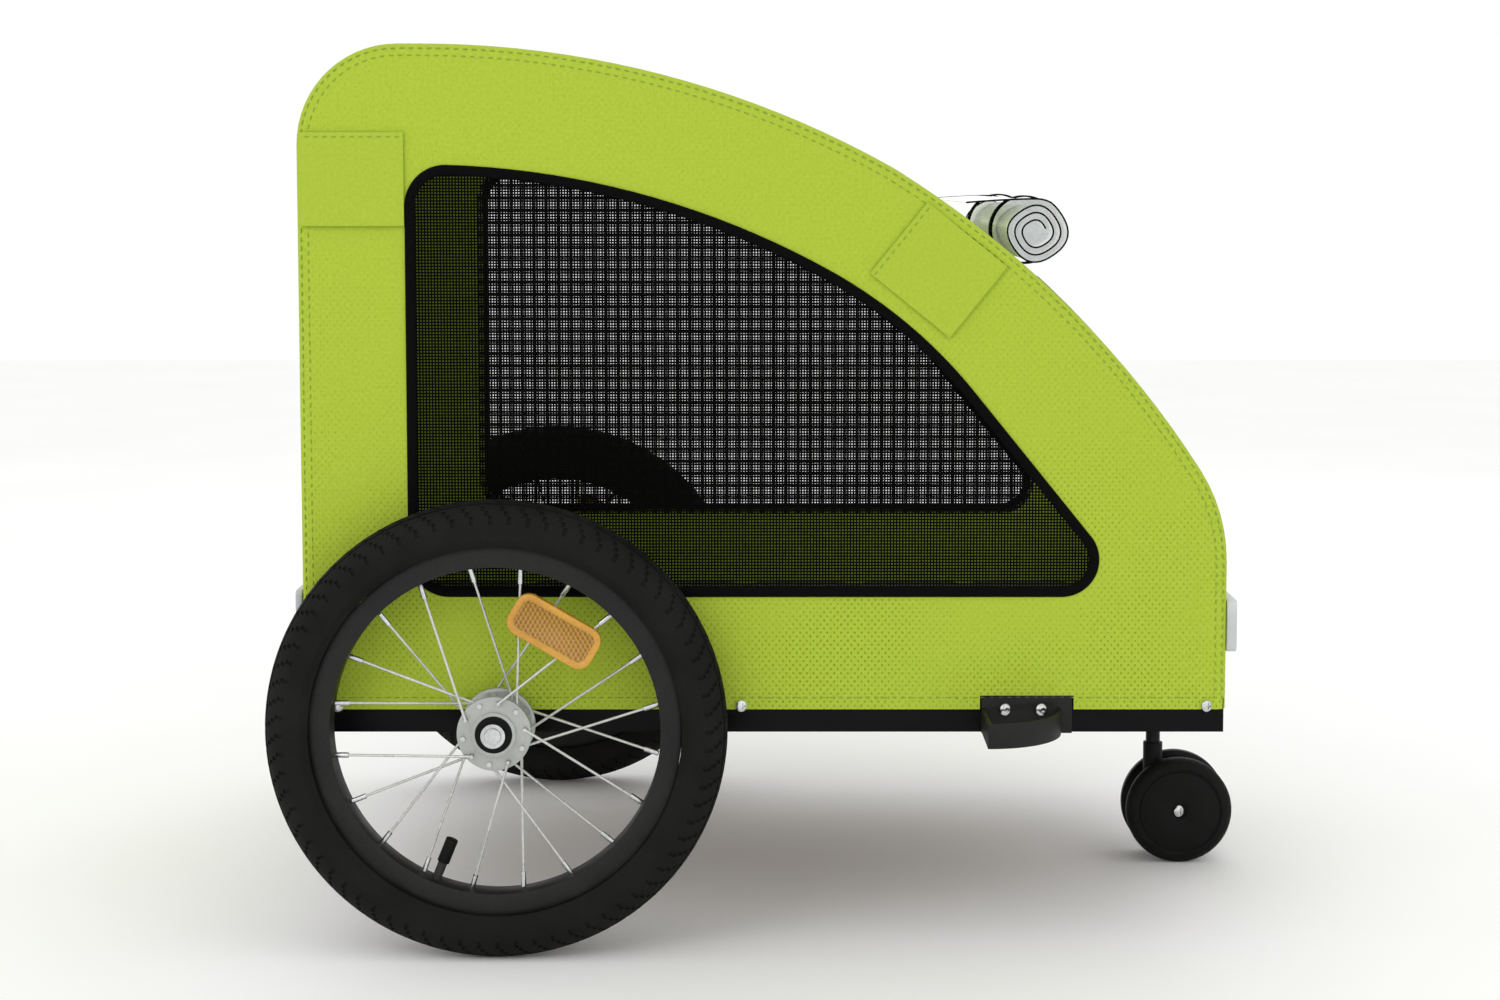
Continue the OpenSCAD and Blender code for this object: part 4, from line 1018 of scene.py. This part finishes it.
def tyre(name):
    low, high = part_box(name + "_tyre")
    hub = (low + high) / 2
    outer, section = (high.z - low.z) / 2, (high.y - low.y) / 2
    rim_low, rim_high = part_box(name + "_rim")
    rim_edge = (rim_high.z - rim_low.z) / 2 + RIM_GAP
    ring_r = outer - section
    bpy.ops.mesh.primitive_circle_add(
        vertices=SECTION_POINTS, radius=section, location=hub + Vector((ring_r, 0, 0)))
    piece = settle(bpy.context.object, name + "_tyre_tread")
    for vertex in piece.data.vertices:
        out, across = vertex.co.x - hub.x - ring_r, vertex.co.y - hub.y
        angle = abs(math.degrees(math.atan2(across, out)))
        ribbed = any(start < angle < stop for start, stop in RIB_ANGLES)
        rib = RIB_HEIGHT if ribbed else 0.0
        vertex.co.x += rib * out / section
        vertex.co.y += rib * across / section
        vertex.co.x = max(vertex.co.x, hub.x + rim_edge)
    edit(piece)
    bpy.ops.mesh.spin(steps=SPIN_STEPS, angle=2 * math.pi, center=hub, axis=(0, 1, 0))
    bpy.ops.mesh.select_all(action="SELECT")
    bpy.ops.mesh.remove_doubles(threshold=0.02 * MM)
    bpy.ops.mesh.normals_make_consistent(inside=False)

    def in_groove(centre, normal):
        arm = centre - hub
        radial = math.hypot(arm.x, arm.z)
        angle = math.degrees(math.atan2(arm.y, radial - ring_r))
        if abs(angle) > TREAD_HALF_ANGLE:
            return False
        turn = (math.atan2(arm.z, arm.x) / (2 * math.pi) * SPIN_STEPS) % SPIN_STEPS
        slant = abs(angle) / SLANT_DEGREES + (BLOCK_STEPS / 2 if angle > 0 else 0)
        between = int(turn + slant) % BLOCK_STEPS == 0
        along = CIRCLING_GROOVE[0] < abs(angle) < CIRCLING_GROOVE[1]
        return between or along

    pick_faces(piece, in_groove)
    bpy.ops.mesh.inset(thickness=GROOVE_WALL, depth=-GROOVE_DEPTH, use_even_offset=True)
    leave_edit()
    for vertex in piece.data.vertices:
        arm = vertex.co - hub
        over = math.hypot(arm.x, arm.z) / outer
        if over > 1:
            vertex.co.x, vertex.co.z = hub.x + arm.x / over, hub.z + arm.z / over
    smooth(piece, 40)
    return dress(piece, name + "_wheel", tyre_rubber, "tyre_rubber", name + "_tyre")


for name in SIDES:
    made = tyre(name)
    print(made.name, "has", len(made.data.polygons), "faces")

# %% [markdown]
# ## Reflectors
# A reflector is a shallow box with a rim round a sunken field of prisms. Each starts from the
# frame's plate: the face that looks outward is inset twice, once for the rim's top and once
# for the field, and the field takes the lens finish while the rest keeps the rim's.


# %% Reflectors
def reflector(node, body, outward, rim_finish, lens_finish, rim_mm, sunk_mm):
    piece = cad_copy([node], node + "_moulded")
    piece.data.materials.clear()
    piece.data.materials.append(rim_finish)
    piece.data.materials.append(lens_finish)
    use(piece, "BEVEL", width=0.9 * MM, segments=2, limit_method="ANGLE",
        angle_limit=math.radians(40))
    edit(piece)
    pick_faces(piece, lambda centre, normal: normal.dot(Vector(outward)) > 0.99)
    bpy.ops.mesh.inset(thickness=rim_mm * MM, depth=0)
    bpy.ops.mesh.inset(thickness=0.5 * MM, depth=-sunk_mm * MM)
    piece.active_material_index = 1
    bpy.ops.object.material_slot_assign()
    leave_edit()
    smooth(piece, 40)
    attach(piece, body)
    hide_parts(node)
    return piece


for name, side in SIDES.items():
    reflector(name + "_spoke_reflector", name + "_wheel", (0, side, 0), amber_rim, amber_lens,
              4.5, 1.2)
reflector("front_reflectors", "root", (1, 0, 0), backing, clear_lens, 3.5, 0.8)
reflector("rear_reflectors", "root", (-1, 0, 0), backing, red_lens, 3.5, 0.8)

# %% [markdown]
# ## Screws and bolts
# The cover's screws have low round heads with a cross recess, and the hitch is held by
# button-head bolts with a six-sided socket. Each head is half of a flattened ball whose recess
# is cut by a Boolean. It is modelled once and copied to every place that the frame gives.


# %% Screws and bolts
def solids_of(node):
    """The box of each separate solid in a frame part."""
    piece = cad_copy([node], "solids")
    edit(piece)
    bpy.ops.mesh.separate(type="LOOSE")
    leave_edit()
    boxes = []
    for part in list(bpy.context.selected_objects):
        corners = [v.co for v in part.data.vertices]
        boxes.append((Vector([min(c[i] for c in corners) for i in range(3)]),
                      Vector([max(c[i] for c in corners) for i in range(3)])))
        bpy.data.objects.remove(part)
    return boxes


def screw(name, head_r, head_h, shank_r, shank_l, socket):
    """A screw that stands on +Z, with a cross recess or a six-sided socket."""
    bpy.ops.mesh.primitive_uv_sphere_add(segments=40, ring_count=24, radius=1,
                                         scale=(head_r, head_r, head_h))
    head = settle(bpy.context.object, name)
    edit(head)
    bpy.ops.mesh.bisect(plane_co=(0, 0, 0), plane_no=(0, 0, 1), clear_inner=True, use_fill=True)
    leave_edit()
    depth = head_h * 0.75
    if socket == "six":
        bpy.ops.mesh.primitive_cylinder_add(vertices=6, radius=head_r * 0.42, depth=2 * depth,
                                            location=(0, 0, head_h))
        tools = [bpy.context.object]
    else:
        tools = []
        for turn in (0, math.pi / 2):
            bpy.ops.mesh.primitive_cube_add(
                size=1, scale=(head_r * 1.05, head_r * 0.2, 2 * depth), location=(0, 0, head_h),
                rotation=(0, 0, turn))
            tools.append(bpy.context.object)
    for tool in tools:
        use(head, "BOOLEAN", object=tool, operation="DIFFERENCE", solver="EXACT")
        bpy.data.objects.remove(tool)
    bpy.ops.mesh.primitive_cylinder_add(vertices=24, radius=shank_r, depth=shank_l,
                                        location=(0, 0, 0.2 * MM - shank_l / 2))
    return joined([head, bpy.context.object], name)


def placed(master, name, location, side):
    """A copy of a screw with its own mesh, its head facing away from the trailer's middle."""
    copy = master.copy()
    copy.data = master.data.copy()
    bpy.context.scene.collection.objects.link(copy)
    copy.location = location
    copy.rotation_euler = (-side * math.pi / 2, 0, 0.4)
    return settle(copy, name)


def screw_set(node, body, head_r, head_h, shank_r, socket, material, slot, name):
    heads = [b for b in solids_of(node) if b[1].x - b[0].x > 1.9 * head_r]
    longest = max(b[1].y - b[0].y for b in heads) - head_h
    master = screw("master", head_r, head_h, shank_r, longest, socket)
    copies = []
    for low, high in heads:
        side = 1 if low.y + high.y > 0 else -1
        face = (high.y if side > 0 else low.y) - side * head_h
        place_at = Vector(((low.x + high.x) / 2, face, (low.z + high.z) / 2))
        copies.append(placed(master, name, place_at, side))
    bpy.data.objects.remove(master)
    piece = joined(copies, name)
    smooth(piece, 40)
    dress(piece, body, material, slot, node)
    print(name, "made:", len(heads))
    return piece


screw_set("fabric_screws", "root", 5.5 * MM, 2.4 * MM, 2 * MM, "cross", zinc, "zinc",
          "cover_screws")
screw_set("caster_axle_screws", "caster_fork", 6.5 * MM, 2.4 * MM, 2 * MM, "cross", zinc, "zinc",
          "caster_screws")
screw_set("hitch_bolts", "root", 5.85 * MM, 3.4 * MM, 2.5 * MM, "six", zinc,
          "bracket_steel", "hitch_button_bolts")

# %% [markdown]
# ## The floor pad
# The load lies on a quilted mat. A box a little smaller than the mat is remeshed and blown up
# by the Cloth simulation with gravity off, its swelling is capped, and then lines of quilting
# are pressed into the top.

# %% Floor pad
VOXEL = 9 * MM
PAD_SHRINK = 6 * MM
PAD_CAP = 6 * MM
QUILT_PITCH = 118 * MM
QUILT_DEPTH = 6 * MM
PAD_PRESSURE = 4
CLOTH_FRAMES = 16
pad_low, pad_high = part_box("floor_pad")
inner_low = pad_low + Vector((PAD_SHRINK, PAD_SHRINK, 0.5 * MM))
inner_high = pad_high - Vector((PAD_SHRINK, PAD_SHRINK, PAD_SHRINK))
mat = block("floor_mat", inner_low, inner_high)
use(mat, "BEVEL", width=7 * MM, segments=3)
use(mat, "REMESH", mode="VOXEL", voxel_size=VOXEL)
flat = [v.co.copy() for v in mat.data.vertices]
scene = bpy.context.scene
cloth = mat.modifiers.new("cloth", "CLOTH")
cloth.settings.use_pressure = True
cloth.settings.uniform_pressure_force = PAD_PRESSURE
cloth.settings.effector_weights.gravity = 0
cloth.point_cache.frame_start, cloth.point_cache.frame_end = 1, CLOTH_FRAMES
for step in range(1, CLOTH_FRAMES + 1):
    scene.frame_set(step)
only(mat)
bpy.ops.object.modifier_apply(modifier="cloth")
scene.frame_set(1)
for vertex, before in zip(mat.data.vertices, flat):
    swell = vertex.co - before
    if swell.length > PAD_CAP:
        vertex.co = before + swell.normalized() * PAD_CAP
    across = abs(math.sin(math.pi * (before.x - inner_low.x) / QUILT_PITCH))
    along = abs(math.sin(math.pi * (before.y - inner_low.y) / QUILT_PITCH))
    line = math.exp(-(min(across, along) / 0.16) ** 2)
    share = max(0.0, (before.z - inner_low.z) / (inner_high.z - inner_low.z) - 0.4) / 0.6
    vertex.co.z -= QUILT_DEPTH * line * share
    vertex.co.x = min(max(vertex.co.x, pad_low.x), pad_high.x)
    vertex.co.y = min(max(vertex.co.y, pad_low.y), pad_high.y)
    vertex.co.z = min(max(vertex.co.z, pad_low.z), pad_high.z)
use(mat, "SUBSURF", levels=1, render_levels=1)
smooth(mat, 80)
dress(mat, "root", pad_cloth, "pad", "floor_pad")
print("floor mat faces:", len(mat.data.polygons))

# %% [markdown]
# ## What was cut as cloth
# The cover and the nets are sheets, so the size that each was cut to is stated here. The
# cover is sewn from a long strip and two sides, which would be cut from one wide length.

# %% Sheets
for name, piece in nets.items():
    low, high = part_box("window_meshes")
